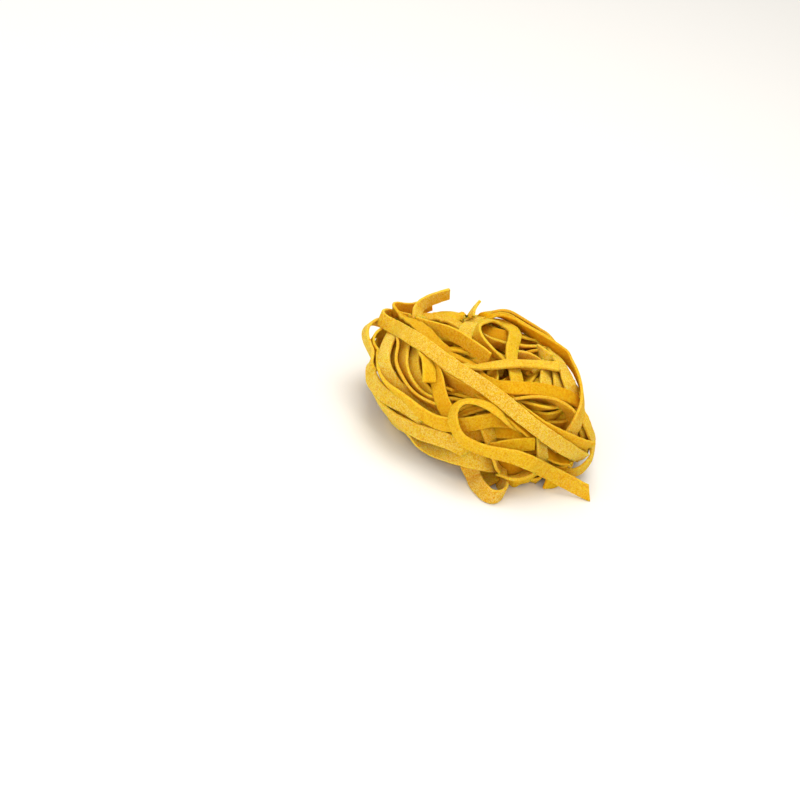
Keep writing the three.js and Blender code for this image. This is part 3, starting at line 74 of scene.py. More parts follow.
 ("AD", 0.961, -0.40, [0.15, 0.1, 0.2, 0.2], [-463,-965,2696,-354,-533,-768,-407,-1098,2762,-342,-529,-776,-344,-1227,2822,-333,-535,-777,-262,-1345,2869,-335,-566,-754,-161,-1448,2901,-340,-624,-704,-49,-1539,2927,-332,-687,-646,72,-1620,2949,-299,-747,-594,199,-1689,2968,-246,-810,-532,332,-1743,2986,-175,-866,-469,471,-1779,3009,-79,-899,-431,610,-1799,3043,26,-904,-426,750,-1801,3081,132,-893,-431,891,-1783,3110,218,-879,-424,1030,-1744,3126,287,-866,-409,1165,-1698,3138,336,-855,-395,1297,-1652,3155,366,-849,-382,1431,-1603,3174,398,-840,-368,1563,-1540,3182,439,-821,-366,1690,-1458,3170,467,-800,-377,1814,-1362,3143,474,-791,-387,1937,-1263,3111,465,-793,-394,2064,-1167,3078,444,-801,-402,2194,-1079,3048,413,-814,-408,2327,-1000,3019,372,-831,-413,2462,-929,2988,333,-847,-416,2600,-864,2955,302,-857,-417,2739,-802,2921,279,-867,-413,2874,-741,2882,255,-879,-402,3002,-678,2832,217,-898,-382,3124,-616,2770,175,-923,-343,3242,-564,2696,141,-955,-263,3360,-526,2617,126,-984,-123,3472,-508,2524,133,-990,40,3543,-513,2406,74,-982,172,3549,-541,2271,-108,-949,295,3521,-586,2139,-338,-843,418,3494,-651,2015,-534,-685,495,3480,-740,1902,-676,-528,515,3473,-849,1805,-782,-386,489,3461,-966,1719,-872,-240,428,3441,-1083,1640,-941,-95,326,3417,-1197,1566,-983,31,181,3396,-1303,1485,-987,157,10,3390,-1366,1381,-954,273,-126,3416,-1353,1266,-922,331,-202,3471,-1276,1169,-900,336,-277,3539,-1168,1105,-869,326,-371,3606,-1049,1071,-825,312,-472,3668,-925,1053,-773,283,-568,3725,-796,1041,-718,243,-652,3777,-663,1031,-660,195,-726,3825,-527,1021,-597,141,-790,3868,-387,1010,-527,87,-845,3903,-246,999,-450,37,-892,3931,-104,988,-367,-3,-930,3952,39,977,-277,-32,-960,3965,183,967,-182,-49,-982,3971,326,957,-86,-54,-995,3972,471,949,7,-52,-999,3965,617,940,94,-43,-995,3950,764,931,173,-27,-985,3925,909,922,240,-5,-971,3894,1054,914,291,20,-957,3860,1198,907,322,44,-946,3825,1343,903,335,69,-940,3787,1487,900,335,98,-937,3745,1631,902,329,132,-935,3698,1774,907,323,169,-931,3651,1916,920,326,202,-924,3609,2062,940,341,224,-913,3562,2208,959,352,232,-907,3501,2348,971,344,237,-909,3430,2483,980,321,243,-916,3356,2615,992,286,247,-926,3280,2743,1005,244,244,-939,3199,2863,1018,199,233,-952,3109,2975,1028,159,217,-963,3010,3079,1037,125,198,-972,2902,3175,1043,96,179,-979,2788,3267,1050,71,161,-984,2669,3356,1057,46,144,-989,2544,3441,1065,26,122,-992,2411,3517,1072,13,90,-996,2268,3574,1078,2,40,-999,2119,3617,1079,-7,-23,-1000,1974,3661,1076,-10,-77,-997,1835,3710,1072,-14,-116,-993,1697,3759,1068,-23,-147,-989,1556,3800,1066,-33,-174,-984,1412,3833,1065,-39,-199,-979,1266,3857,1066,-40,-227,-973,1119,3871,1069,-35,-258,-966,970,3874,1074,-23,-292,-956,820,3869,1078,-9,-321,-947,669,3858,1082,8,-343,-939,520,3844,1084,24,-361,-932,371,3826,1086,37,-375,-926,224,3803,1088,48,-386,-921,77,3777,1091,56,-394,-917,-69,3750,1093,61,-401,-914,-215,3721,1095,64,-406,-912,-362,3693,1097,64,-410,-910,-509,3666,1099,62,-413,-909,-656,3641,1101,61,-415,-908]),
 ("AE", 1.029, -0.56, [0.35, 0.35], [775,-2104,2384,230,938,-261,819,-2079,2526,249,941,-228,883,-2074,2665,234,945,-228,975,-2088,2782,201,934,-294,1097,-2112,2856,153,871,-466,1219,-2112,2911,1,780,-625,1326,-2052,2962,-214,729,-650,1441,-1958,2984,-355,671,-652,1560,-1859,2983,-409,619,-671,1679,-1759,2975,-424,607,-672,1802,-1671,2966,-395,624,-674,1932,-1599,2960,-334,653,-680,2067,-1542,2957,-267,670,-693,2208,-1504,2957,-195,676,-710,2351,-1488,2958,-155,668,-728,2493,-1494,2954,-170,639,-750,2635,-1508,2934,-251,594,-765,2778,-1505,2897,-364,558,-745,2915,-1477,2839,-471,550,-690,3041,-1436,2760,-572,555,-604,3152,-1401,2660,-647,577,-498,3242,-1385,2537,-705,595,-385,3301,-1395,2397,-760,589,-276,3330,-1412,2248,-793,588,-159,3341,-1411,2096,-781,622,-52,3331,-1404,1946,-729,683,35,3284,-1420,1811,-675,733,84,3197,-1473,1701,-646,756,105]),
 ("AF", 0.966, -0.16, [0.29, 0.29], [943,-1518,2587,369,637,-677,1075,-1588,2591,345,654,-674,1215,-1647,2604,319,675,-666,1362,-1690,2630,296,694,-657,1509,-1730,2663,248,710,-659,1653,-1774,2693,165,709,-686,1798,-1818,2708,34,666,-745,1946,-1839,2708,-135,592,-795,2090,-1806,2700,-293,534,-793,2219,-1722,2682,-448,489,-748,2332,-1611,2654,-555,433,-710,2438,-1487,2622,-609,365,-704,2537,-1356,2594,-633,298,-715,2621,-1215,2576,-640,234,-732,2684,-1065,2564,-642,176,-746,2733,-910,2552,-627,125,-769,2772,-754,2537,-598,74,-798,2797,-600,2523,-573,24,-819,2812,-444,2507,-557,-11,-831,2831,-290,2486,-546,-20,-837,2866,-144,2457,-547,-9,-837,2902,-1,2432,-556,8,-831,2911,144,2429,-556,19,-831]),
 ("AG", 0.962, 0.73, [0.21, 0.21], [1629,-1697,2288,95,492,-865,1760,-1652,2326,118,510,-852,1903,-1656,2344,148,512,-847,2049,-1694,2357,146,490,-859,2192,-1737,2378,94,449,-889,2333,-1750,2402,3,384,-923,2461,-1697,2425,-113,347,-931,2566,-1589,2438,-213,321,-923,2658,-1465,2439,-261,252,-932,2742,-1332,2440,-267,178,-947,2815,-1190,2442,-266,130,-955,2875,-1042,2444,-273,100,-957,2916,-893,2444,-293,67,-954,2936,-742,2444,-322,31,-946,2942,-592,2442,-343,5,-939,2943,-444,2438,-363,-12,-932,2957,-298,2427,-384,-16,-923,3001,-153,2405,-401,-10,-916]),
 ("AH", 0.990, -0.80, [0.25, 0.25], [1828,-1685,2160,-396,760,-515,1961,-1645,2104,-349,784,-513,2102,-1612,2066,-291,806,-515,2245,-1582,2064,-240,811,-533,2386,-1551,2088,-210,789,-577,2525,-1520,2111,-226,731,-644,2664,-1487,2113,-273,627,-730,2797,-1440,2100,-311,491,-813,2916,-1368,2083,-327,358,-874,3022,-1279,2071,-304,245,-921,3123,-1190,2068,-251,141,-958,3203,-1091,2069,-206,53,-977,3234,-965,2067,-189,3,-982,3249,-825,2058,-168,-24,-985,3291,-693,2042,-131,-52,-990,3361,-570,2024,-95,-70,-993,3436,-444,2009,-58,-73,-996,3488,-307,1996,-16,-76,-997,3505,-164,1985,23,-79,-997,3498,-22,1973,54,-79,-995]),
 ("AM", 0.998, 0.40, [0.6, 0.6], [-626,1428,2794,36,-356,-934,-508,1422,2802,50,-358,-932,-428,1337,2839,85,-310,-947,-354,1224,2885,140,-200,-970,-251,1153,2921,173,12,-985,-124,1140,2948,127,278,-952,11,1159,2966,29,470,-882,152,1184,2976,-49,563,-825,293,1211,2980,-100,599,-794,432,1246,2982,-131,617,-776,571,1287,2985,-139,632,-763,710,1331,2990,-125,649,-751,848,1367,3002,-104,674,-731,981,1393,3024,-110,703,-702,1107,1423,3058,-150,728,-669,1234,1463,3093,-223,740,-635,1366,1508,3106,-308,717,-625,1497,1564,3087,-359,675,-645,1618,1640,3052,-361,635,-683,1740,1708,3016,-293,609,-737,1869,1722,2972,-166,628,-760,1997,1680,2921,-28,663,-748,2121,1614,2872,84,651,-755,2232,1532,2820,156,610,-777,2316,1427,2761,223,567,-793,2372,1306,2695,302,531,-792,2412,1175,2629,384,504,-774,2453,1040,2570,447,481,-754,2502,903,2517,480,472,-739,2553,766,2465,498,471,-728]),
 ("AN", 0.962, 0.78, [0.35, 0.4, 0.3, 0.4], [863,-58,2896,286,-796,533,727,-77,2942,285,-801,527,592,-91,3000,279,-798,535,463,-100,3074,237,-786,571,336,-105,3151,165,-754,636,205,-99,3212,83,-683,725,74,-65,3257,-24,-597,802,-47,6,3290,-125,-529,840,-158,96,3308,-197,-446,873,-263,193,3316,-226,-353,908,-361,295,3320,-213,-268,940,-452,398,3324,-167,-192,967,-535,504,3328,-94,-124,988,-610,614,3334,-4,-57,998,-672,731,3341,102,3,995,-716,853,3345,214,45,976,-737,982,3344,321,60,945,-737,1112,3335,422,50,905,-729,1242,3325,519,28,854,-715,1370,3313,609,-3,793,-690,1495,3296,686,-45,726,-661,1620,3285,761,-86,643,-633,1746,3281,826,-116,552,-599,1876,3264,857,-166,488,-555,2009,3232,858,-248,450,-500,2143,3197,832,-361,421,-428,2271,3162,777,-499,385,-336,2385,3128,693,-644,324,-222,2480,3097,572,-787,233,-94,2550,3062,425,-900,99,13,2597,3020,111,-992,-57,90,2601,3004,-366,-924,-113,186,2545,3031,-627,-777,-56,290,2441,3070,-731,-682,-16,370,2316,3111,-822,-569,7,436,2181,3150,-889,-454,51,491,2039,3183,-933,-343,109,534,1893,3210,-953,-238,187,564,1743,3232,-950,-144,276,583,1589,3250,-931,-71,357,594,1431,3267,-906,-29,423,601,1271,3281,-884,-9,468,604,1112,3288,-868,-1,497,606,957,3292,-861,-12,509,612,807,3297,-865,-51,499,622,664,3295,-873,-100,477,633,527,3277,-874,-140,466,646,395,3249,-872,-171,458,666,265,3229,-878,-199,434,693,134,3217,-888,-229,398,725,4,3209,-895,-263,360,761,-126,3198,-900,-296,321,802,-254,3179,-900,-326,288,848,-380,3157,-898,-351,267,898,-507,3137,-893,-372,255,949,-633,3117,-888,-389,245,997,-760,3090,-884,-405,234,1045,-888,3056,-874,-437,214,1097,-1015,3011,-857,-485,173,1158,-1137,2958,-839,-535,101,1228,-1248,2892,-819,-574,1,1305,-1340,2806,-797,-597,-95,1381,-1403,2696,-764,-624,-166,1453,-1441,2571,-722,-661,-207,1536,-1482,2462,-688,-688,-233,1637,-1549,2389,-671,-699,-249]),
 ("AO", 0.989, -0.55, [0.7, 0.7], [529,449,2758,566,124,-815,625,518,2840,503,170,-848,710,606,2911,397,231,-888,795,695,2966,279,295,-914,907,745,3013,208,356,-911,1042,746,3049,159,403,-901,1183,721,3066,94,397,-913,1319,678,3059,-7,307,-952,1443,619,3034,-173,110,-979,1549,540,3005,-386,-155,-910,1639,436,2986,-587,-358,-726,1724,335,2953,-712,-444,-544,1814,263,2876,-762,-457,-459,1904,186,2791,-791,-435,-431,1985,84,2724,-821,-401,-407,2060,-31,2667,-843,-375,-386,2133,-152,2614,-855,-359,-375]),
 ("AP", 0.986, 0.57, [0.39, 0.39], [315,2294,2817,401,881,-251,449,2241,2849,349,902,-255,573,2209,2922,271,932,-239,699,2185,2988,174,946,-275,837,2162,2998,64,916,-395,981,2162,2978,-49,860,-508,1125,2187,2961,-114,805,-582,1268,2208,2936,-133,739,-661,1399,2193,2892,-140,657,-741,1497,2126,2824,-144,589,-795,1554,2022,2744,-144,550,-823,1589,1905,2663,-137,526,-840]),
 ("AS", 1.005, 0.40, [0.75, 0.7], [2018,1682,3043,-915,-54,399,2042,1523,3098,-908,-108,405,2071,1363,3150,-896,-166,411,2111,1200,3197,-871,-256,419,2165,1049,3235,-835,-359,418,2237,910,3252,-788,-465,404,2322,791,3237,-756,-533,381,2408,687,3196,-749,-557,358,2488,580,3158,-762,-548,344,2561,462,3134,-789,-513,338,2625,339,3115,-810,-491,319,2683,213,3098,-826,-488,283,2741,87,3084,-829,-514,218,2806,-36,3056,-810,-569,139,2876,-138,2992,-762,-640,94,2948,-209,2893,-673,-733,95,3027,-266,2789,-578,-805,131,3107,-323,2688,-512,-840,183,3170,-385,2576,-475,-849,230,3209,-448,2446,-470,-842,265,3225,-508,2304,-473,-835,281]),
 ("AT", 1.057, 0.09, [0.5, 0.5, 0.6, 0.85, 0.8, 0.5], [873,3904,869,-46,605,795,726,3895,867,-50,600,798,579,3882,867,-55,596,801,432,3864,870,-59,592,804,284,3843,874,-61,588,806,135,3821,879,-61,585,809,-15,3798,884,-61,580,812,-164,3775,890,-64,576,815,-312,3750,895,-72,571,818,-461,3724,900,-86,562,823,-609,3695,902,-104,549,829,-757,3664,903,-122,533,837,-904,3627,903,-137,516,846,-1049,3587,902,-148,499,854,-1193,3543,901,-155,483,861,-1336,3496,901,-161,468,869,-1477,3447,900,-166,453,876,-1618,3395,900,-171,437,883,-1757,3340,899,-176,421,890,-1895,3281,899,-181,405,896,-2031,3218,899,-187,388,903,-2165,3150,899,-193,370,909,-2295,3077,900,-198,353,914,-2422,2998,902,-204,334,920,-2545,2913,905,-210,316,925,-2662,2821,908,-215,298,930,-2774,2722,912,-219,279,935,-2881,2617,917,-222,262,939,-2982,2507,923,-223,245,943,-3078,2392,929,-223,230,947,-3168,2274,936,-221,217,951,-3254,2151,943,-218,205,954,-3335,2025,951,-214,193,957,-3412,1897,959,-209,183,960,-3484,1767,968,-204,174,963,-3551,1634,977,-199,166,966,-3614,1502,986,-193,159,968,-3671,1369,996,-186,155,970,-3724,1235,1007,-178,156,972,-3774,1100,1019,-167,164,972,-3819,963,1034,-154,180,972,-3856,823,1055,-133,200,971,-3881,679,1083,-106,212,971,-3895,532,1114,-76,200,977,-3901,384,1143,-49,168,985,-3903,237,1169,-28,123,992,-3901,89,1187,-15,72,997,-3897,-58,1197,-13,13,1000,-3887,-205,1197,-30,-55,998,-3862,-349,1185,-71,-129,989,-3818,-485,1162,-135,-214,968,-3763,-614,1131,-215,-289,933,-3708,-739,1096,-303,-334,892,-3654,-868,1063,-387,-353,852,-3593,-1004,1037,-443,-357,823,-3521,-1141,1018,-469,-353,810,-3445,-1277,1005,-478,-343,808,-3365,-1412,997,-477,-336,812,-3282,-1543,994,-465,-340,817,-3194,-1668,991,-440,-357,824,-3101,-1787,987,-405,-380,831,-3001,-1900,980,-367,-399,840,-2893,-2006,971,-328,-407,852,-2780,-2107,963,-291,-402,868,-2662,-2201,956,-262,-382,886,-2541,-2288,953,-238,-347,907,-2417,-2370,954,-218,-300,929,-2292,-2448,959,-200,-244,949,-2164,-2523,967,-184,-183,966,-2035,-2596,979,-168,-119,979,-1904,-2667,994,-153,-57,987,-1772,-2737,1011,-142,0,990,-1638,-2803,1031,-137,52,989,-1505,-2865,1055,-142,97,985,-1371,-2921,1081,-152,133,979,-1237,-2972,1111,-156,156,975,-1103,-3018,1141,-146,166,975,-965,-3058,1170,-114,167,979,-822,-3090,1192,-66,162,985,-675,-3112,1205,-9,156,988,-527,-3124,1205,55,147,988,-379,-3127,1191,120,136,983,-232,-3124,1166,184,128,975,-86,-3113,1130,242,129,962,56,-3091,1088,294,142,945,193,-3049,1037,335,157,929,324,-2988,977,367,152,918,452,-2924,912,398,133,908,569,-2848,844,445,105,890,665,-2749,778,493,53,868,757,-2650,711,518,-25,855,866,-2586,643,511,-140,848,991,-2563,576,467,-274,841,1124,-2551,519,415,-378,828,1255,-2507,487,389,-441,809,1383,-2426,478,387,-473,792,1513,-2342,469,387,-481,787]),
 ("AU", 1.052, 0.70, [0.5, 0.5, 0.85, 0.85, 0.8, 0.4], [-1588,2503,258,-697,552,459,-1691,2393,234,-701,553,450,-1792,2281,213,-707,554,439,-1891,2168,195,-716,553,427,-1988,2055,179,-728,547,413,-2083,1939,163,-745,535,398,-2173,1821,149,-769,513,381,-2259,1699,137,-796,485,362,-2339,1572,128,-824,452,342,-2411,1441,122,-852,415,320,-2475,1306,118,-878,374,299,-2531,1167,114,-901,331,282,-2579,1025,111,-920,287,267,-2620,881,109,-936,244,255,-2653,735,107,-948,202,247,-2680,587,106,-957,162,242,-2702,439,106,-963,124,241,-2717,290,106,-966,89,243,-2728,141,107,-967,55,247,-2734,-9,108,-967,23,254,-2734,-159,110,-965,-11,263,-2730,-309,113,-960,-47,275,-2720,-458,115,-954,-85,287,-2703,-607,119,-945,-124,303,-2678,-755,127,-930,-161,329,-2644,-899,144,-914,-199,353,-2599,-1040,170,-900,-238,366,-2547,-1178,199,-886,-278,372,-2490,-1313,227,-871,-321,373,-2426,-1446,257,-855,-365,368,-2354,-1573,289,-837,-415,356,-2276,-1696,325,-816,-469,337,-2190,-1811,366,-791,-529,308,-2097,-1918,412,-757,-596,269,-1997,-2016,463,-714,-666,217,-1890,-2107,512,-661,-734,153,-1775,-2195,542,-608,-790,70,-1657,-2280,533,-565,-824,-24,-1536,-2359,493,-530,-840,-119,-1409,-2431,454,-487,-844,-226,-1275,-2496,432,-434,-837,-334,-1137,-2557,424,-377,-822,-427,-997,-2618,428,-326,-801,-503,-861,-2682,447,-278,-779,-562,-729,-2751,480,-229,-762,-605,-601,-2822,523,-186,-750,-634,-471,-2893,569,-152,-741,-655,-337,-2961,614,-125,-732,-669,-200,-3026,659,-101,-728,-678,-59,-3085,701,-76,-731,-678,82,-3140,744,-48,-737,-674,225,-3190,789,-14,-741,-672,370,-3226,828,34,-751,-660,520,-3235,850,92,-763,-640,670,-3214,851,157,-760,-631,814,-3166,833,227,-739,-634,945,-3093,805,295,-707,-643,1060,-2999,769,353,-660,-663,1159,-2888,728,378,-605,-701,1237,-2764,674,376,-559,-739,1296,-2633,609,373,-533,-760,1346,-2498,543,378,-511,-772,1379,-2366,479,380,-487,-786,1396,-2236,412,369,-477,-798,1425,-2107,349,355,-481,-802,1484,-1984,299,343,-494,-799,1571,-1874,265,330,-509,-795,1679,-1780,246,320,-523,-790,1800,-1701,240,319,-535,-782,1928,-1631,244,331,-543,-772,2059,-1564,254,350,-549,-759,2188,-1498,267,368,-551,-749,2316,-1430,282,381,-554,-740]),
 ("AV", 1.027, -0.80, [0.5, 0.85, 0.8], [-170,-2611,1198,-747,90,-659,-98,-2692,1104,-744,91,-662,-19,-2760,1005,-738,90,-669,65,-2823,903,-729,68,-681,151,-2891,808,-729,11,-684,233,-2969,728,-745,-55,-665,299,-3073,681,-778,-101,-620,354,-3189,646,-805,-107,-584,417,-3254,576,-807,-69,-587,484,-3239,477,-795,-47,-605,546,-3190,376,-765,-105,-635,618,-3176,284,-718,-194,-668,689,-3247,231,-656,-230,-718,742,-3374,229,-567,-247,-786,799,-3508,243,-486,-269,-832,874,-3636,248,-425,-275,-862,959,-3759,249,-357,-267,-895,1050,-3877,252,-273,-249,-929,1150,-3988,256,-177,-211,-961,1266,-4075,260,-87,-147,-985,1397,-4115,262,-37,-63,-997,1527,-4090,262,-40,9,-999,1635,-4004,262,-72,41,-997,1712,-3878,262,-102,33,-994,1763,-3732,261,-116,11,-993,1787,-3579,260,-128,-20,-992,1777,-3425,257,-162,-61,-985,1738,-3273,252,-236,-94,-967,1687,-3122,243,-339,-110,-934,1647,-2973,232,-467,-84,-880,1619,-2826,231,-596,-26,-802,1581,-2693,268,-673,31,-739,1516,-2593,354,-694,95,-713,1427,-2526,464,-690,147,-709,1323,-2489,575,-682,166,-712,1210,-2479,683,-678,163,-717,1094,-2486,789,-677,154,-719]),
 ("AW", 0.981, 0.68, [0.4, 0.5], [283,-2659,837,-560,-785,-266,384,-2702,747,-559,-786,-264,484,-2753,665,-552,-785,-281,591,-2826,615,-524,-774,-355,694,-2878,567,-446,-773,-451,771,-2863,476,-333,-811,-481,832,-2808,363,-284,-837,-468,897,-2755,255,-346,-812,-469,980,-2739,169,-459,-771,-442,1085,-2790,134,-551,-761,-343,1194,-2885,140,-616,-751,-240,1296,-2988,149,-659,-725,-199,1398,-3090,150,-673,-715,-191]),
 ("R2", 1.032, 0.10, [0.4, 0.35, 0.3, 0.3, 0.35], [4605,-2077,261,177,95,980,4456,-2076,289,194,101,976,4306,-2079,320,218,109,970,4157,-2089,357,245,120,962,4008,-2105,399,266,131,955,3859,-2129,447,278,141,950,3710,-2161,498,285,150,947,3563,-2199,552,291,159,943,3417,-2241,607,294,172,940,3272,-2280,661,302,188,935,3127,-2312,713,323,202,925,2993,-2350,768,360,223,906,2884,-2420,830,405,250,880,2802,-2512,898,443,271,855,2721,-2596,967,466,281,839,2636,-2667,1038,482,275,832,2574,-2755,1104,496,265,827,2532,-2861,1168,494,256,831,2484,-2963,1233,480,244,843,2421,-3057,1299,457,227,860,2342,-3145,1363,422,201,884,2247,-3224,1422,371,170,913,2134,-3286,1472,311,124,942,2006,-3330,1512,251,66,966,1872,-3364,1540,188,11,982,1734,-3397,1556,129,-36,991,1594,-3431,1563,78,-78,994,1454,-3461,1562,41,-115,992,1312,-3486,1559,20,-151,988,1170,-3506,1554,10,-186,982,1026,-3521,1550,12,-220,975,879,-3533,1548,25,-253,967,729,-3540,1550,51,-286,957,579,-3545,1558,89,-319,944,429,-3547,1572,133,-353,926,280,-3548,1595,183,-389,903,134,-3547,1628,236,-428,873,-9,-3540,1674,288,-470,834,-142,-3521,1737,339,-507,792,-263,-3489,1818,385,-537,751,-368,-3444,1915,425,-563,709,-458,-3392,2021,457,-587,668,-533,-3333,2135,477,-615,628,-589,-3263,2253,480,-653,586,-618,-3182,2372,459,-700,547,-610,-3091,2485,413,-753,512,-561,-2999,2584,352,-804,479,-472,-2917,2664,284,-848,447,-354,-2854,2722,209,-891,403,-217,-2815,2762,133,-925,355,-72,-2797,2789,52,-949,312,76,-2799,2807,-18,-961,274,226,-2815,2816,-66,-968,241,378,-2838,2812,-67,-977,204,528,-2859,2793,-20,-986,166,676,-2871,2757,52,-992,118,822,-2871,2706,139,-989,49,958,-2852,2632,231,-973,-21,1071,-2811,2530,350,-935,-60,1171,-2743,2419,451,-890,-69,1280,-2655,2325,499,-861,-95,1401,-2562,2250,514,-847,-133,1520,-2470,2175,523,-838,-156,1627,-2380,2085,525,-834,-173,1729,-2293,1993,515,-835,-194,1840,-2206,1915,505,-836,-214,1957,-2121,1850,492,-840,-230,2073,-2039,1789,471,-848,-243,2188,-1963,1733,451,-858,-247]),
 ("JF", 1.056, 1.00, [0.35, 0.2], [-2605,335,2600,-961,-183,208,-2564,190,2659,-957,-187,221,-2521,42,2714,-952,-192,239,-2477,-110,2760,-942,-203,266,-2431,-266,2796,-929,-217,300,-2382,-422,2831,-914,-237,329,-2330,-575,2864,-903,-256,346,-2274,-723,2886,-888,-281,363,-2216,-864,2893,-873,-305,381,-2157,-999,2897,-867,-302,397,-2100,-1138,2908,-868,-279,411,-2045,-1280,2925,-864,-264,429,-1995,-1418,2940,-855,-265,446,-1947,-1553,2948,-846,-271,459,-1903,-1689,2949,-839,-287,463,-1862,-1827,2936,-830,-321,456,-1822,-1966,2904,-820,-366,440,-1783,-2100,2854,-808,-414,419,-1741,-2230,2791,-797,-455,397,-1697,-2356,2721,-786,-492,374]),
 ("BK", 0.991, 0.15, [0.3, 0.3], [-2679,1792,2458,-159,-29,987,-2564,1783,2480,-141,-98,985,-2495,1864,2504,-38,-163,986,-2481,1998,2529,96,-195,976,-2495,2136,2558,225,-212,951,-2489,2270,2584,369,-268,890,-2441,2394,2602,500,-366,785,-2368,2508,2619,570,-461,680,-2307,2592,2633,464,-653,599,-2249,2620,2651,129,-884,449,-2141,2623,2691,-56,-942,331,-2026,2622,2727,-234,-945,226,-1956,2592,2754,-544,-838,48,-1882,2514,2804,-663,-747,-37,-1792,2415,2865,-645,-763,-39,-1698,2324,2918,-598,-800,-51,-1589,2254,2966,-520,-841,-150,-1488,2228,2970,-461,-832,-307,-1396,2239,2898,-499,-779,-380,-1302,2221,2838,-617,-723,-310,-1215,2137,2854,-747,-642,-173,-1136,2013,2891,-817,-563,-127,-1058,1873,2908,-837,-523,-158,-980,1726,2913,-849,-498,-176,-903,1580,2915,-857,-487,-171,-827,1435,2916,-862,-485,-148,-751,1293,2921,-866,-485,-125]),
 ("D2", 1.000, -0.50, [0.5, 0.5], [-3282,-1026,817,440,-58,-896,-3222,-1163,854,429,-38,-903,-3159,-1298,888,405,-16,-914,-3091,-1429,918,369,5,-929,-3014,-1555,944,324,18,-946,-2930,-1675,968,277,16,-961,-2838,-1785,991,238,1,-971,-2736,-1889,1015,212,-14,-977,-2623,-1988,1041,195,-19,-981,-2502,-2081,1066,184,-15,-983,-2376,-2168,1090,176,-6,-984,-2246,-2248,1113,175,1,-985,-2114,-2324,1136,182,3,-983,-1980,-2400,1162,191,5,-982,-1845,-2476,1189,196,11,-981,-1709,-2552,1218,190,19,-982,-1575,-2631,1245,169,28,-985,-1442,-2702,1269,128,44,-991,-1300,-2751,1285,70,56,-996,-1152,-2784,1291,-1,42,-999,-1006,-2813,1285,-84,-4,-996,-860,-2836,1265,-161,-66,-985,-717,-2839,1232,-225,-121,-967,-581,-2812,1185,-268,-163,-949,-455,-2756,1130,-298,-205,-932]),
 ("N0", 1.002, -0.74, [0.15, 0.15], [-1740,-1532,2344,-512,-821,253,-1612,-1608,2348,-511,-821,256,-1483,-1684,2357,-506,-818,272,-1351,-1757,2378,-491,-815,308,-1216,-1825,2410,-464,-816,346,-1076,-1887,2444,-430,-821,375,-932,-1945,2473,-403,-827,392,-781,-2003,2496,-391,-829,399]),
 ("N1", 1.026, -0.47, [0.12, 0.12], [-1439,-1823,2223,-31,-933,358,-1294,-1822,2226,-34,-928,371,-1149,-1814,2235,-57,-921,385,-1000,-1801,2251,-110,-913,392,-850,-1800,2274,-180,-905,386,-702,-1826,2306,-249,-893,374,-558,-1877,2346,-267,-889,372,-413,-1927,2386,-229,-897,378,-265,-1957,2419,-158,-909,385,-114,-1963,2449,-65,-921,384,36,-1955,2482,34,-930,366,183,-1932,2509,136,-930,341,329,-1896,2516,220,-918,329,473,-1849,2506,290,-895,338,613,-1793,2495,342,-869,357,753,-1734,2483,369,-852,370,897,-1684,2450,379,-848,371]),
 ("N2", 1.055, 0.16, [0.41, 0.41], [-1264,-1989,2141,-432,-821,375,-1141,-2064,2142,-365,-828,426,-1019,-2112,2180,-234,-868,438,-896,-2108,2232,-55,-917,394,-762,-2069,2253,89,-916,392,-621,-2020,2252,156,-895,418,-478,-1968,2252,170,-888,427,-334,-1928,2260,144,-887,438,-187,-1910,2266,103,-888,447,-36,-1905,2256,88,-894,439,115,-1898,2238,94,-909,407,263,-1885,2229,102,-924,369,406,-1874,2226,100,-931,350,546,-1862,2227,98,-932,348,684,-1847,2229,100,-933,345]),
 ("OB", 1.021, -0.21, [0.25, 0.25], [-658,-2360,1827,132,-954,268,-574,-2314,1951,190,-934,302,-477,-2259,2059,253,-909,330,-365,-2189,2142,318,-875,366,-247,-2106,2207,374,-838,398,-128,-2013,2263,429,-806,408,-8,-1915,2306,472,-787,396,119,-1822,2317,497,-776,389,249,-1739,2310,508,-767,393,373,-1657,2310,513,-766,388]),
 ("AY", 1.024, -0.90, [0.05, 0.05], [-309,-1726,2633,-589,-808,13,-188,-1814,2635,-620,-784,14,-71,-1909,2649,-643,-766,27,41,-2011,2675,-645,-763,54,151,-2113,2697,-613,-784,92,264,-2210,2703,-556,-819,141,384,-2295,2687,-480,-857,190,510,-2364,2657,-387,-894,225,644,-2415,2620,-307,-923,233,781,-2452,2580,-241,-946,218,919,-2480,2537,-201,-958,202,1057,-2514,2500,-184,-962,199,1195,-2555,2466,-136,-971,196,1331,-2592,2423,-58,-981,183,1465,-2613,2367,32,-987,157,1598,-2610,2304,124,-987,100,1730,-2588,2244,193,-981,3,1858,-2549,2185,238,-964,-122,1979,-2498,2119,266,-934,-238,2093,-2439,2047,293,-901,-319,2200,-2372,1969,328,-868,-373,2299,-2295,1888,362,-835,-415,2396,-2209,1816,389,-804,-450,2500,-2117,1760,410,-773,-484]),
 ("Tb1", 1.000, 0.33, [0.22, 0.22], [1589,-2242,91,961,218,-173,1625,-2377,116,938,200,-284,1664,-2519,143,900,186,-395,1694,-2635,169,789,303,-535,1733,-2705,189,525,535,-662,1826,-2773,205,327,595,-734,1959,-2832,219,235,545,-805,2088,-2832,248,97,551,-829,2194,-2771,297,-81,584,-808,2298,-2690,342,-191,542,-819,2408,-2606,376,-229,432,-872,2506,-2505,401,-276,321,-906,2588,-2380,410,-338,233,-912,2662,-2241,399,-391,155,-907,2732,-2096,374,-416,95,-904,2798,-1946,339,-419,43,-907,2858,-1797,299,-408,3,-913,2914,-1648,258,-396,-29,-918]),
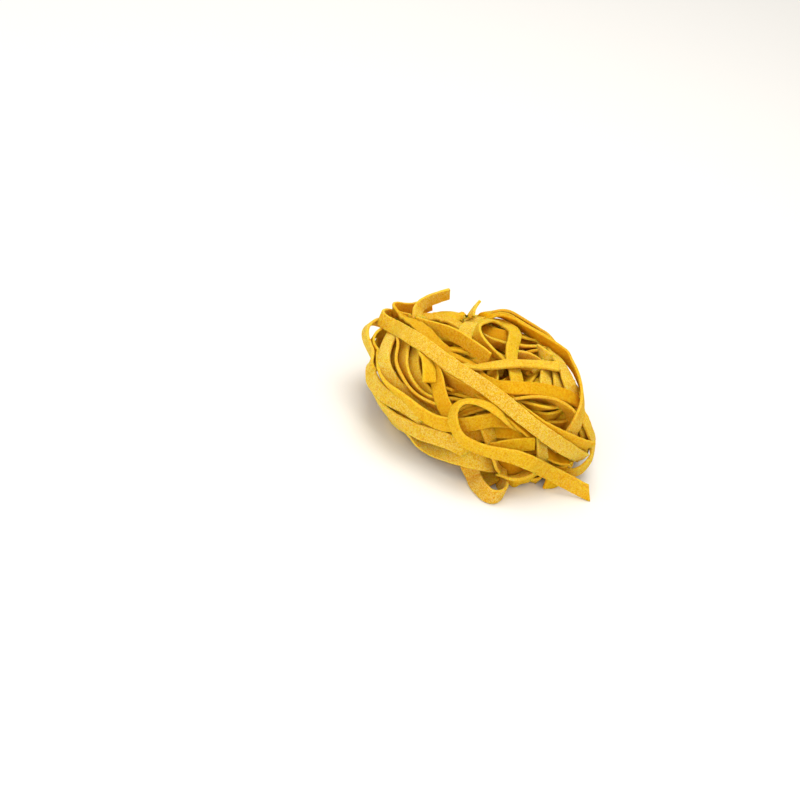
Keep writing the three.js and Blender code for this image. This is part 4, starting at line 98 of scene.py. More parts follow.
 ("Tb2", 1.033, -0.43, [0.4, 0.4], [2013,-2087,103,490,838,-241,2134,-2153,146,424,845,-326,2257,-2217,157,324,845,-425,2392,-2248,159,203,839,-504,2535,-2252,171,109,812,-573,2678,-2251,189,32,727,-686,2778,-2221,214,-129,568,-813,2792,-2132,256,-425,375,-824,2784,-1999,288,-629,245,-737,2819,-1850,280,-682,206,-701,2880,-1700,250,-689,210,-693,2942,-1549,231,-686,226,-692,3006,-1401,222,-671,233,-704,3084,-1261,206,-656,239,-716]),
 ("Z2", 1.001, 0.36, [0.35, 0.35], [-877,826,2764,836,-138,531,-850,965,2758,836,-132,533,-818,1102,2741,836,-126,534,-790,1242,2729,840,-114,530,-770,1389,2728,849,-93,520,-755,1540,2728,860,-68,506,-742,1690,2727,868,-56,494,-731,1836,2725,865,-64,497,-712,1977,2714,854,-82,514,-684,2115,2694,844,-107,525,-650,2249,2671,838,-130,530,-613,2381,2650,834,-148,531,-580,2514,2641,835,-158,527,-553,2653,2642,839,-161,519,-528,2801,2636,844,-163,510,-505,2955,2628,858,-174,483,-495,3093,2653,853,-249,459,-502,3185,2733,735,-466,492,-479,3247,2823,495,-681,539,-391,3320,2878,340,-749,569,-269,3400,2909,273,-767,581,-137,3469,2929,206,-793,574,5,3516,2939,127,-815,565,153,3536,2938,31,-834,551,304,3526,2929,-70,-843,533,453,3493,2916,-175,-837,518,598,3441,2906,-276,-817,506,739,3373,2901,-371,-784,498,876,3292,2903,-460,-742,487,1006,3200,2914,-543,-693,474,1130,3097,2937,-610,-646,458,1250,2984,2968,-657,-610,443,1366,2862,3004,-683,-590,431,1476,2734,3039,-697,-583,417,1583,2601,3066,-698,-596,397,1681,2461,3066,-683,-626,376,1762,2325,3025,-645,-675,359,1836,2204,2963,-606,-756,249,1909,2140,2893,-551,-834,22,1970,2142,2781,-443,-888,-123,2044,2153,2647,-356,-926,-130,2124,2147,2560,-431,-902,-9,2187,2119,2545,-636,-727,259,2262,2040,2552,-705,-531,470,2343,1922,2543,-694,-440,570,2412,1793,2538,-690,-356,630,2475,1661,2549,-677,-274,683,2527,1525,2564,-669,-212,713,2569,1385,2572,-673,-187,715,2604,1245,2570,-692,-198,694,2636,1104,2558,-720,-217,659,2662,960,2536,-744,-235,626,2687,813,2506,-760,-249,601,2711,665,2474,-774,-255,580,2740,517,2447,-787,-257,560,2778,373,2435,-795,-260,549,2824,236,2437,-794,-260,550]),
 ("AL", 0.985, -0.90, [0.1, 0.15], [-1037,2276,2682,-402,-914,-65,-924,2223,2751,-386,-921,-55,-809,2174,2822,-364,-930,-50,-690,2128,2877,-348,-936,-53,-562,2076,2901,-331,-941,-71,-429,2019,2908,-291,-948,-128,-293,1967,2920,-229,-949,-219,-152,1929,2935,-168,-945,-280,-5,1904,2947,-118,-948,-294,143,1881,2964,-71,-952,-297,290,1862,2983,-19,-952,-304,437,1859,2984,42,-949,-313,577,1881,2953,125,-948,-293,707,1924,2899,223,-946,-235,836,1980,2849,304,-937,-174,970,2042,2811,347,-929,-126,1108,2105,2780,366,-927,-84,1248,2167,2756,374,-926,-55]),
 ("AX", 0.992, 0.05, [0.4, 0.4], [-376,859,2935,-708,-574,411,-271,743,2965,-689,-596,413,-163,631,2989,-654,-630,419,-50,527,3010,-604,-675,423,72,430,3031,-540,-729,421,202,343,3047,-461,-787,409,338,267,3049,-358,-840,408,479,205,3030,-235,-868,437,620,159,2989,-80,-864,497,760,135,2934,74,-819,569,905,137,2883,192,-764,616,1055,167,2849,262,-726,637,1205,219,2832,294,-706,645,1355,282,2824,305,-699,647]),
 ("AZ1", 0.973, -0.77, [0.29, 0.29], [977,1051,2921,-280,741,-611,1089,1131,2966,-254,758,-601,1206,1206,3008,-213,780,-589,1331,1270,3047,-148,799,-583,1463,1318,3082,-57,803,-593,1602,1338,3109,43,789,-613,1744,1328,3118,147,767,-624,1880,1289,3109,242,747,-620,2000,1215,3094,338,732,-591,2109,1122,3078,398,745,-535,2222,1037,3055,417,799,-432,2325,978,3000,466,838,-285,2395,940,2895,562,807,-181,2453,890,2786,647,740,-182,2530,800,2721,675,690,-262,2612,687,2674,671,658,-341,2688,568,2619,666,639,-386,2762,448,2558,653,633,-415]),
 ("AC2", 1.019, 0.16, [0.7, 0.7], [1972,1744,2703,-868,253,427,1963,1592,2766,-855,255,451,1952,1435,2825,-844,248,475,1943,1279,2880,-836,228,499,1944,1127,2933,-833,184,522,1952,978,2970,-833,139,535,1959,827,2986,-834,113,539,1962,670,3003,-831,98,547,1965,508,3035,-826,84,558,1970,344,3065,-820,47,571,1975,175,3077,-809,-10,588,1986,4,3078,-803,-67,592,2003,-167,3072,-808,-122,577,2024,-337,3060,-822,-178,541,2048,-503,3041,-849,-242,470,2079,-657,3009,-889,-305,341,2112,-783,2939,-921,-344,183,2135,-849,2815,-931,-358,70,2147,-856,2660,-927,-376,4,2161,-860,2503,-917,-399,-26,2197,-920,2383,-910,-413,-30,2255,-1042,2331,-908,-418,-31]),
 ("AS2", 1.004, 0.10, [0.7, 0.7], [2173,1449,2756,-808,166,565,2187,1296,2813,-833,136,536,2206,1136,2873,-857,88,508,2230,972,2924,-871,31,490,2258,806,2959,-868,-35,495,2293,642,2977,-849,-97,519,2333,480,2983,-827,-149,542,2373,319,2982,-812,-192,552,2413,161,2973,-799,-238,552,2452,10,2959,-785,-307,539,2496,-134,2935,-778,-387,496,2541,-270,2891,-785,-455,420,2576,-380,2807,-781,-521,345,2593,-459,2684,-750,-590,299,2603,-520,2545,-725,-635,266,2613,-580,2401,-714,-654,248,2643,-655,2273,-703,-665,251,2707,-754,2178,-691,-673,263]),
 ("AR1", 0.950, -0.40, [0.29, 0.29], [137,358,2729,-654,-197,-730,139,213,2764,-641,-186,-745,151,68,2786,-625,-178,-760,172,-82,2802,-600,-170,-782,192,-234,2820,-573,-161,-803,208,-385,2839,-557,-143,-818,221,-533,2855,-551,-109,-827,238,-679,2861,-548,-66,-834,262,-825,2855,-544,-19,-839,286,-970,2842,-545,30,-838,306,-1114,2821,-554,82,-828,331,-1254,2785,-565,130,-815,369,-1383,2729,-575,176,-799,430,-1493,2653,-581,215,-785,507,-1590,2566,-585,240,-775]),
 ("AR2", 0.971, -0.49, [0.45, 0.45], [-584,-540,2747,-770,-550,325,-493,-652,2778,-749,-575,329,-400,-757,2812,-715,-617,328,-301,-857,2836,-668,-669,326,-195,-951,2839,-613,-722,321,-83,-1038,2833,-555,-782,285,35,-1116,2826,-502,-842,196,157,-1181,2804,-449,-889,90,279,-1232,2755,-405,-914,11,399,-1273,2687,-373,-927,-47,518,-1308,2615,-347,-933,-89,636,-1341,2544,-331,-936,-115]),
 ("AR3", 0.930, 0.73, [0.2, 0.2], [1740,1506,2744,-767,-169,-619,1755,1354,2760,-744,-130,-655,1766,1204,2773,-718,-96,-690,1769,1055,2783,-699,-67,-712,1760,905,2794,-682,-29,-731,1738,754,2804,-666,19,-746,1710,603,2807,-651,65,-756,1677,450,2802,-638,99,-764,1641,290,2798,-633,113,-766,1604,126,2802,-634,117,-765,1567,-40,2814,-633,133,-762,1530,-204,2825,-632,171,-756,1492,-363,2822,-626,233,-744,1452,-515,2798,-609,309,-731,1409,-662,2759,-581,379,-720,1359,-800,2711,-550,442,-708,1296,-932,2663,-525,496,-692,1222,-1058,2617,-508,541,-671,1160,-1182,2555,-496,574,-652,1128,-1303,2466,-487,591,-643]),
 ("AF2", 1.019, -0.38, [0.12, 0.12], [1389,-1143,2605,-227,-961,156,1532,-1178,2616,-167,-969,183,1675,-1204,2630,-98,-975,199,1816,-1223,2617,7,-968,249,1953,-1229,2577,133,-934,333,2089,-1209,2545,247,-894,373,2225,-1163,2532,333,-872,358,2357,-1102,2528,406,-854,326,2485,-1038,2514,464,-838,288,2609,-976,2475,509,-822,258,2727,-915,2414,548,-799,248,2843,-850,2348,574,-781,244,2960,-779,2289,587,-773,239,3074,-705,2239,593,-769,239]),
 ("AI", 0.998, -0.41, [0.5, 0.5], [-3330,1603,2014,655,-745,-123,-3236,1673,2104,641,-749,-165,-3141,1740,2198,619,-755,-219,-3049,1787,2303,555,-793,-252,-2965,1800,2422,436,-866,-247,-2883,1785,2549,301,-927,-225,-2793,1759,2672,200,-964,-174,-2683,1740,2776,140,-987,-74,-2555,1746,2848,121,-992,41,-2420,1775,2895,139,-983,117,-2281,1816,2930,140,-981,135,-2152,1852,2931,43,-997,59,-2038,1864,2911,-158,-986,-44,-1922,1836,2933,-329,-944,-6,-1804,1780,2979,-406,-910,84,-1686,1714,3002,-425,-898,117,-1562,1652,3006,-411,-902,129,-1434,1605,2996,-390,-913,122,-1302,1566,2982,-407,-910,75,-1172,1516,2989,-465,-885,33,-1048,1446,3015,-533,-845,43,-931,1358,3028,-595,-801,58,-818,1261,3016,-637,-769,50,-710,1159,2982,-663,-747,39]),
 ("AJ", 0.984, 0.30, [0.7, 0.7], [-1030,2907,3320,-286,423,-860,-1068,2769,3265,-299,344,-890,-1098,2628,3221,-313,258,-914,-1119,2482,3195,-335,148,-930,-1132,2334,3189,-359,52,-932,-1140,2188,3198,-399,-25,-917,-1146,2079,3206,-486,-214,-847,-1151,2065,3178,-578,-498,-647,-1160,2133,3099,-674,-573,-465,-1166,2210,2995,-837,-433,-334,-1160,2218,2899,-947,-195,-256,-1150,2125,2841,-949,-29,-314,-1155,1979,2828,-918,24,-396,-1176,1827,2840,-900,37,-434,-1198,1673,2857,-892,32,-451,-1211,1518,2870,-890,20,-456,-1215,1362,2878,-889,11,-457,-1214,1206,2880,-884,6,-467,-1205,1056,2868,-878,5,-479,-1183,919,2830,-880,7,-475,-1153,794,2772,-890,3,-457,-1121,673,2706,-901,-6,-434]),
 ("AK", 1.012, 0.60, [0.7, 0.7], [-421,3550,2500,-867,382,-320,-496,3435,2575,-870,389,-303,-572,3332,2666,-874,389,-292,-649,3220,2744,-883,361,-300,-721,3096,2798,-898,296,-325,-781,2963,2836,-915,210,-345,-824,2825,2868,-926,127,-354,-854,2691,2908,-929,54,-365,-874,2565,2952,-924,15,-383,-889,2443,2994,-920,9,-392,-911,2326,3041,-929,28,-370,-938,2217,3066,-942,65,-331,-958,2103,3050,-947,78,-313,-978,1983,3047,-944,62,-323,-1004,1860,3080,-939,42,-341,-1023,1734,3115,-937,28,-348,-1037,1601,3140,-937,30,-348,-1050,1465,3159,-938,46,-344,-1063,1329,3170,-944,60,-323,-1074,1196,3162,-957,65,-284,-1082,1065,3133,-976,51,-210,-1088,934,3105,-992,25,-125,-1091,798,3100,-997,8,-80,-1091,658,3105,-998,-6,-68,-1088,537,3070,-997,11,-72,-1082,451,2968,-991,79,-109,-1081,359,2861,-981,129,-143,-1089,228,2810,-982,124,-146,-1102,78,2805,-985,103,-139,-1115,-75,2811,-987,90,-136]),
 ("BG", 1.001, 0.08, [0.26, 0.26], [-3403,2049,1876,-129,-78,989,-3488,1943,1855,-176,-68,982,-3605,1881,1827,-217,-86,972,-3725,1835,1786,-227,-169,959,-3810,1752,1739,-210,-228,951,-3857,1634,1693,-207,-234,950,-3887,1506,1651,-226,-220,949,-3911,1373,1612,-259,-187,947,-3926,1234,1581,-300,-142,943,-3930,1091,1562,-342,-95,935,-3925,949,1554,-383,-68,921,-3915,811,1552,-423,-62,904,-3902,673,1550,-460,-70,885,-3882,537,1548,-491,-84,867,-3855,400,1545,-506,-103,856,-3817,260,1542,-493,-125,861,-3763,119,1542,-450,-129,884,-3697,-23,1544,-389,-107,915,-3626,-164,1547,-334,-76,940,-3558,-306,1551,-301,-48,952,-3493,-449,1559,-289,-26,957,-3435,-595,1572,-291,-12,957,-3380,-741,1588,-296,-9,955]),
 ("BG2", 1.012, -0.02, [0.42, 0.42], [-3386,1649,2111,-587,-85,-805,-3351,1505,2104,-578,-48,-814,-3317,1366,2092,-582,-25,-813,-3302,1228,2081,-591,-19,-806,-3313,1087,2085,-594,-30,-804,-3331,938,2104,-588,-49,-808,-3337,780,2125,-577,-57,-815,-3335,615,2138,-560,-51,-827,-3330,446,2142,-538,-37,-842,-3322,276,2139,-514,-29,-858,-3309,105,2131,-492,-26,-870,-3288,-65,2121,-480,-32,-877,-3258,-234,2110,-484,-48,-874,-3215,-398,2097,-509,-72,-858,-3160,-556,2079,-542,-100,-834,-3097,-709,2058,-564,-121,-817,-3028,-857,2034,-572,-132,-809,-2955,-998,2006,-577,-138,-805]),
 ("BG3", 1.007, 0.37, [0.19, 0.19], [-2256,160,2553,-558,690,-460,-2357,69,2531,-579,678,-453,-2465,-19,2521,-604,637,-479,-2564,-115,2497,-626,568,-534,-2636,-227,2453,-642,485,-594,-2680,-354,2403,-644,397,-654,-2699,-490,2354,-635,301,-712,-2696,-629,2310,-617,216,-757,-2673,-770,2269,-593,143,-792,-2631,-907,2227,-570,91,-817,-2572,-1039,2180,-549,69,-833,-2496,-1160,2125,-538,62,-841,-2409,-1272,2063,-535,59,-843]),
 ("BH", 0.960, -0.28, [0.13, 0.13], [-2301,735,2580,657,102,-747,-2214,633,2642,626,152,-765,-2134,518,2687,575,182,-798,-2041,428,2727,497,262,-827,-1923,397,2772,410,422,-809,-1791,396,2815,331,548,-768,-1656,390,2858,280,606,-745,-1520,375,2903,240,632,-737,-1381,354,2943,185,646,-741,-1236,336,2972,116,663,-739,-1089,328,2985,48,687,-726,-940,332,2987,-20,702,-711,-792,351,2987,-74,708,-702,-645,386,2995,-115,712,-693]),
 ("BI", 0.984, -0.22, [0.16, 0.16], [-1892,-454,2799,332,-852,405,-1773,-381,2848,340,-849,405,-1648,-309,2890,342,-853,395,-1519,-240,2925,336,-865,372,-1387,-178,2952,328,-881,340,-1253,-123,2970,322,-897,302,-1116,-73,2978,313,-913,262,-977,-27,2976,294,-930,220,-838,10,2956,266,-946,186,-700,39,2911,237,-957,167,-562,61,2851,210,-965,154,-422,82,2809,183,-973,143,-279,103,2793,161,-977,139]),
 ("BJ", 1.000, -0.70, [0.18, 0.18], [-1662,-816,2817,-41,-995,93,-1559,-815,2925,-20,-991,133,-1439,-811,3011,16,-984,175,-1302,-798,3059,64,-974,216,-1156,-778,3068,126,-961,246,-1011,-756,3048,193,-948,253,-868,-731,3010,264,-932,250,-726,-698,2970,337,-908,249,-588,-651,2933,412,-878,244,-458,-587,2888,475,-848,234,-336,-516,2827,519,-824,227,-214,-452,2753,540,-810,231]),
 ("AA2", 1.020, 0.16, [0.4, 0.6], [3216,-177,2411,-687,-455,567,3256,-310,2358,-706,-473,526,3319,-448,2332,-715,-508,480,3394,-583,2311,-700,-571,429,3475,-712,2290,-675,-662,326,3563,-823,2254,-625,-761,173,3645,-903,2167,-520,-851,68,3724,-949,2044,-418,-908,-28,3800,-960,1912,-329,-929,-171,3860,-932,1775,-223,-929,-294,3910,-876,1639,-130,-909,-396,3956,-802,1509,-74,-876,-477,4002,-716,1382,-38,-850,-525,4055,-627,1256,-12,-840,-542,4113,-541,1131,5,-845,-535,4160,-459,1003,-2,-854,-520,4174,-383,873,-45,-867,-496,4156,-311,744,-93,-873,-479,4117,-238,620,-137,-869,-475,4051,-164,505,-173,-863,-475,3962,-87,401,-188,-860,-474]),
 ("BK1", 0.994, -0.41, [0.31, 0.31], [-675,-2701,1312,291,142,-946,-534,-2711,1353,296,144,-944,-401,-2763,1386,302,134,-944,-269,-2818,1422,315,101,-944,-137,-2849,1466,326,54,-944,-3,-2859,1514,325,-4,-946,133,-2851,1560,306,-75,-949,271,-2830,1601,278,-154,-948,410,-2801,1634,252,-233,-939,547,-2766,1658,235,-307,-922,684,-2728,1676,223,-375,-900,824,-2688,1689,203,-427,-881,963,-2638,1691,186,-464,-866,1100,-2577,1687,180,-497,-849,1240,-2528,1688,159,-524,-837,1382,-2492,1692,120,-540,-833,1524,-2456,1686,79,-545,-834,1660,-2410,1664,38,-547,-836,1786,-2351,1626,8,-544,-839,1898,-2279,1578,-8,-534,-846,1997,-2194,1523,-16,-519,-855,2085,-2099,1465,-19,-505,-863]),
 ("BK7", 1.026, -0.64, [0.4, 0.4], [257,-2768,1118,58,644,-763,399,-2774,1125,54,633,-772,543,-2778,1133,43,635,-771,688,-2780,1139,21,646,-763,834,-2781,1141,-5,651,-759,980,-2778,1138,-27,640,-768,1126,-2770,1135,-48,618,-785,1275,-2757,1134,-77,599,-797,1423,-2732,1138,-115,584,-803,1567,-2693,1144,-158,571,-806,1706,-2639,1151,-203,558,-805,1840,-2574,1158,-250,545,-800,1968,-2497,1164,-296,534,-792,2089,-2410,1172,-339,525,-781,2203,-2317,1180,-373,519,-769,2314,-2224,1185,-389,516,-763,2427,-2135,1186,-392,514,-763,2542,-2051,1182,-391,513,-764]),
 ("b1", 0.996, 0.45, [0.21, 0.21], [2184,-1493,2244,18,-349,-937,2274,-1377,2201,23,-326,-945,2380,-1279,2167,43,-321,-946,2504,-1208,2146,72,-326,-943,2641,-1157,2140,103,-310,-945,2782,-1123,2147,134,-245,-960,2919,-1099,2166,151,-149,-977,3050,-1060,2188,152,-107,-983,3179,-1022,2209,143,-185,-972,3305,-996,2220,145,-362,-921,3418,-946,2205,200,-517,-832,3510,-863,2161,286,-587,-757,3584,-765,2105,369,-605,-706,3660,-663,2060,437,-606,-664,3744,-562,2031,507,-628,-591,3807,-469,1987,631,-620,-466,3814,-416,1904,782,-480,-397,3785,-430,1840,767,-364,-528,3800,-449,1838,564,-432,-704,3867,-396,1838,475,-516,-713,3915,-293,1788,522,-519,-676,3930,-181,1711,564,-492,-664,3941,-67,1635,589,-459,-665,3951,53,1562,603,-413,-682,3957,180,1493,613,-353,-707,3956,311,1432,621,-285,-730,3948,446,1380,629,-215,-747,3933,584,1337,632,-145,-761,3911,724,1301,631,-79,-772,3883,864,1273,623,-20,-782,3850,1002,1251,611,24,-791,3816,1139,1234,593,48,-804,3784,1275,1222,568,57,-821,3752,1413,1212,539,64,-840,3716,1551,1203,515,73,-854,3678,1690,1196,501,80,-862,3643,1829,1192,501,80,-862,3608,1972,1185,515,76,-854,3571,2118,1175,528,77,-846,3532,2267,1163,529,88,-844,3491,2412,1152,519,105,-848,3446,2553,1141,501,128,-856,3394,2692,1132,471,157,-868,3332,2827,1125,432,184,-883,3259,2958,1121,384,206,-900,3177,3082,1118,329,220,-919,3085,3199,1117,270,227,-936,2980,3305,1116,215,231,-949,2865,3400,1117,165,235,-958,2742,3486,1121,119,239,-964,2615,3565,1129,77,242,-967,2484,3636,1140,42,243,-969,2351,3699,1153,16,245,-969,2214,3755,1166,-1,247,-969,2076,3808,1181,-16,249,-968,1937,3857,1197,-31,251,-967,1797,3900,1213,-50,251,-967,1655,3937,1232,-73,249,-966,1511,3971,1253,-101,248,-963,1364,3999,1278,-128,245,-961,1214,4018,1305,-149,241,-959,1063,4026,1332,-163,236,-958,911,4027,1359,-172,231,-958,759,4021,1386,-179,223,-958,608,4010,1412,-187,213,-959,460,3994,1438,-195,202,-960,313,3974,1464,-201,190,-961,167,3952,1491,-206,177,-962,22,3930,1518,-211,164,-964,-123,3910,1547,-215,150,-965,-268,3891,1577,-217,135,-967,-413,3872,1607,-218,120,-969,-557,3854,1638,-219,105,-970,-702,3834,1668,-221,90,-971,-847,3809,1699,-223,79,-972,-992,3776,1730,-224,73,-972,-1135,3737,1760,-223,72,-972,-1277,3692,1790,-222,73,-972,-1418,3644,1818,-219,75,-973,-1558,3593,1845,-217,76,-973,-1697,3540,1872,-214,78,-974,-1834,3483,1897,-212,79,-974,-1969,3422,1921,-210,81,-974,-2103,3357,1944,-209,82,-975,-2233,3286,1966,-208,82,-975,-2361,3210,1987,-208,83,-975,-2486,3130,2007,-208,83,-975]),
 ("b2", 1.000, 0.01, [0.14, 0.14], [1495,-1428,2942,586,-201,785,1581,-1299,2915,584,-193,788,1665,-1170,2886,579,-181,795,1749,-1041,2851,561,-175,809,1840,-922,2813,529,-186,828,1947,-823,2773,494,-213,843,2069,-745,2734,461,-257,849,2199,-685,2696,449,-317,835,2328,-629,2662,475,-381,793,2448,-553,2632,536,-428,728,2553,-452,2611,612,-448,651,2641,-337,2605,687,-449,571,2708,-216,2628,766,-423,485,2751,-92,2681,846,-358,397,2774,36,2741,908,-270,320,2779,163,2807,954,-176,243,2773,285,2870,988,-87,125,2768,406,2894,997,-47,-65,2766,527,2870,959,-75,-272,2772,648,2841,883,-87,-461,2778,770,2827,787,-50,-615,2764,896,2805,724,5,-690,2730,1027,2781,687,78,-722,2684,1156,2774,650,143,-747,2626,1278,2775,638,187,-747,2563,1398,2775,651,200,-732,2504,1526,2771,673,177,-718,2455,1661,2761,703,136,-698,2415,1798,2736,737,85,-671,2378,1931,2690,759,68,-647,2342,2062,2638,766,104,-634,2306,2200,2604,746,164,-646,2256,2335,2581,712,245,-658,2185,2461,2561,688,344,-639,2103,2583,2553,653,435,-620,2009,2698,2552,611,508,-607,1900,2799,2547,569,578,-584,1780,2887,2537,532,636,-559,1654,2966,2527,506,674,-538,1531,3043,2518,499,688,-526,1413,3125,2513,502,688,-524,1298,3210,2509,498,689,-528,1182,3296,2508,479,695,-536,1062,3381,2512,445,709,-547,935,3458,2517,404,728,-554,804,3524,2515,372,739,-562,673,3580,2504,354,732,-582,541,3630,2485,337,712,-617,405,3671,2461,306,687,-659,265,3701,2433,270,661,-700,122,3715,2397,234,634,-737,-19,3705,2350,210,611,-763,-159,3677,2293,197,591,-782,-298,3652,2240,182,570,-802,-440,3640,2202,163,545,-822,-584,3632,2171,145,516,-844,-727,3614,2139,131,486,-864,-866,3585,2103,122,463,-878,-1001,3546,2065,114,451,-885,-1135,3505,2028,107,446,-888,-1270,3466,1993,101,445,-890]),
 ("b3", 0.994, 0.52, [0.27, 0.27], [1398,-610,2543,168,-980,103,1501,-585,2639,196,-976,89,1606,-557,2735,255,-965,60,1718,-522,2821,343,-939,6,1840,-475,2881,430,-900,-70,1966,-409,2892,496,-859,-126,2085,-327,2863,550,-825,-131,2199,-236,2829,602,-790,-113,2311,-139,2806,644,-758,-103,2415,-35,2779,669,-737,-91,2515,68,2760,665,-746,-30,2613,161,2784,591,-800,104,2715,234,2836,462,-843,274,2830,283,2850,390,-823,412,2946,298,2797,412,-759,505,3034,275,2704,502,-658,561,3084,238,2623,710,-516,479,3104,245,2595,922,-358,148,3123,330,2586,936,-303,-177,3148,450,2548,864,-350,-362,3173,567,2485,787,-396,-474,3194,680,2410,736,-413,-536,3207,796,2329,717,-396,-573,3212,919,2253,711,-347,-611,3210,1049,2187,699,-293,-652,3200,1181,2131,682,-246,-689,3186,1311,2082,666,-222,-712,3168,1441,2035,649,-216,-730,3149,1571,1988,629,-218,-746,3130,1701,1938,609,-227,-760,3112,1830,1885,593,-235,-770,3091,1957,1827,585,-239,-775,3064,2082,1765,593,-225,-773,3034,2207,1701,617,-183,-766,3003,2338,1644,646,-113,-755,2973,2475,1598,668,-31,-744,2941,2614,1564,678,56,-733,2901,2752,1539,677,150,-721,2851,2888,1525,656,242,-715,2794,3021,1528,607,326,-725,2729,3150,1546,543,396,-741,2654,3273,1571,475,455,-753,2567,3388,1597,403,498,-767,2469,3493,1623,327,525,-786,2357,3585,1646,250,539,-804,2233,3662,1667,181,547,-818,2099,3721,1685,121,550,-826,1959,3765,1700,67,551,-832,1815,3797,1716,19,548,-836,1671,3825,1735,-26,540,-841,1528,3851,1760,-72,524,-849,1385,3873,1790,-116,501,-858,1241,3887,1821,-155,476,-866,1096,3891,1853,-192,450,-872,950,3885,1886,-231,428,-874,803,3870,1922,-267,413,-870,658,3847,1960,-297,405,-865,513,3818,1999,-318,401,-859,369,3784,2038,-330,402,-854,224,3747,2077,-334,406,-851,78,3718,2121,-332,411,-849,-57,3730,2179,-330,414,-848,-172,3794,2255,-330,413,-849]),
 ("b4", 0.994, 0.72, [0.23, 0.23], [1720,-2533,859,-654,757,9,1833,-2436,814,-629,775,56,1945,-2339,763,-593,796,116,2062,-2244,718,-548,818,176,2188,-2159,697,-491,848,199,2323,-2094,705,-435,887,152,2464,-2047,707,-404,913,65,2595,-2000,666,-434,901,-11,2713,-1945,599,-495,866,-62,2833,-1885,551,-546,833,-91,2954,-1819,558,-612,788,-69,3060,-1740,606,-699,715,2,3150,-1639,646,-772,633,46,3231,-1521,652,-817,575,36,3302,-1397,640,-844,536,13,3369,-1273,645,-846,533,-7,3437,-1162,691,-808,587,-46,3509,-1072,769,-733,666,-137,3594,-992,827,-662,697,-275,3694,-912,830,-639,632,-439,3797,-829,796,-640,488,-594,3887,-731,764,-605,342,-719,3951,-612,753,-527,248,-813,3986,-479,762,-443,206,-873,4007,-342,781,-372,188,-909,4025,-203,802,-317,169,-933,4050,-61,818,-267,137,-954,4083,81,827,-207,88,-974,4116,223,829,-136,35,-990,4138,367,827,-62,-6,-998,4142,511,823,9,-30,-1000,4132,653,815,74,-35,-997,4113,794,806,132,-31,-991,4091,935,797,183,-21,-983,4066,1076,789,223,-8,-975,4038,1218,782,253,10,-967,4006,1361,776,271,34,-962,3968,1504,772,276,63,-959,3923,1647,770,264,97,-960,3869,1789,771,236,132,-963,3797,1922,773,200,167,-965,3700,2041,777,175,198,-965,3593,2156,786,156,221,-963,3494,2276,804,132,234,-963,3401,2402,827,111,236,-965,3309,2528,851,97,223,-970,3218,2652,870,90,191,-977,3124,2771,883,88,148,-985,3025,2885,889,89,99,-991,2919,2994,887,90,48,-995,2807,3096,879,90,-3,-996,2689,3192,866,89,-53,-995,2566,3282,848,84,-101,-991,2439,3371,826,70,-144,-987,2315,3465,801,42,-186,-982,2195,3566,777,3,-231,-973,2072,3657,757,-28,-276,-961,1939,3723,743,-35,-319,-947,1798,3768,733,-21,-363,-931,1651,3801,722,4,-409,-913,1503,3824,708,34,-451,-892,1354,3840,691,65,-490,-869,1206,3853,668,96,-525,-846,1058,3863,642,121,-559,-820,911,3864,617,139,-588,-797,764,3851,599,156,-607,-779,616,3828,586,176,-621,-764,468,3799,574,201,-632,-749,321,3766,560,230,-641,-733,174,3727,545,259,-647,-717,29,3683,529,287,-650,-703,-115,3635,512,312,-653,-690,-258,3583,494,333,-655,-678,-399,3526,478,350,-654,-670,-538,3464,464,360,-652,-667,-674,3397,455,367,-647,-669,-808,3328,447,372,-639,-673,-942,3258,439,379,-631,-677,-1075,3187,430,386,-621,-682,-1208,3114,420,393,-611,-687,-1341,3039,409,398,-602,-692,-1474,2963,398,403,-592,-698,-1607,2886,386,405,-582,-705,-1739,2806,375,406,-573,-712,-1869,2723,366,407,-564,-718,-1994,2636,363,409,-558,-722,-2115,2547,363,410,-555,-724]),
 ("u1", 1.003, -0.13, [0.23, 0.23], [3221,880,76,-845,-535,-14,3140,1007,71,-833,-554,-14,3056,1132,67,-813,-583,-12,2967,1255,62,-786,-618,-10,2872,1374,58,-756,-655,-8,2771,1487,56,-720,-694,-5,2664,1594,55,-679,-734,-2,2550,1695,55,-634,-773,0,2430,1788,55,-585,-811,0,2305,1873,55,-531,-847,-1,2174,1950,57,-475,-880,-6,2039,2018,72,-414,-910,-8,1902,2075,103,-347,-938,4,1762,2121,138,-280,-960,11,1616,2158,161,-217,-976,-1,1466,2185,170,-157,-987,-26,1315,2203,172,-97,-994,-48,1162,2212,172,-39,-997,-64,1010,2211,167,13,-997,-82,859,2201,158,55,-993,-100,706,2188,148,77,-991,-106,551,2174,145,74,-993,-96,394,2163,153,68,-995,-75,236,2153,166,71,-996,-45,80,2143,174,92,-996,-15,-73,2129,175,130,-991,10,-224,2109,167,179,-983,34,-372,2080,143,235,-971,46,-514,2042,106,302,-953,32,-653,1992,73,373,-928,10,-790,1931,57,441,-898,0,-924,1861,54,507,-862,-1,-1053,1781,55,574,-819,0,-1175,1691,55,643,-766,0,-1289,1591,55,711,-703,0,-1393,1481,55,779,-627,0,-1486,1361,55,842,-539,0,-1562,1230,55,899,-438,0,-1621,1090,55,944,-330,0,-1661,944,55,976,-216,0,-1683,794,55,995,-104,0,-1687,643,55,1000,5,0,-1675,493,55,994,109,0,-1648,345,55,979,206,0,-1609,200,55,955,298,0,-1557,60,55,923,384,0,-1493,-75,55,885,466,0,-1417,-203,55,841,542,0,-1328,-324,55,793,610,0,-1229,-436,55,743,670,0,-1122,-541,55,692,722,0,-1010,-640,55,642,767,0,-892,-732,55,590,807,0,-769,-816,55,537,843,0,-641,-892,55,484,875,0,-508,-960,55,429,903,0,-371,-1018,55,375,927,0,-230,-1068,55,324,946,0,-88,-1111,55,279,960,0,54,-1147,55,250,968,0,195,-1180,55,237,972,0,336,-1212,55,234,972,0,477,-1243,55,237,972,0]),
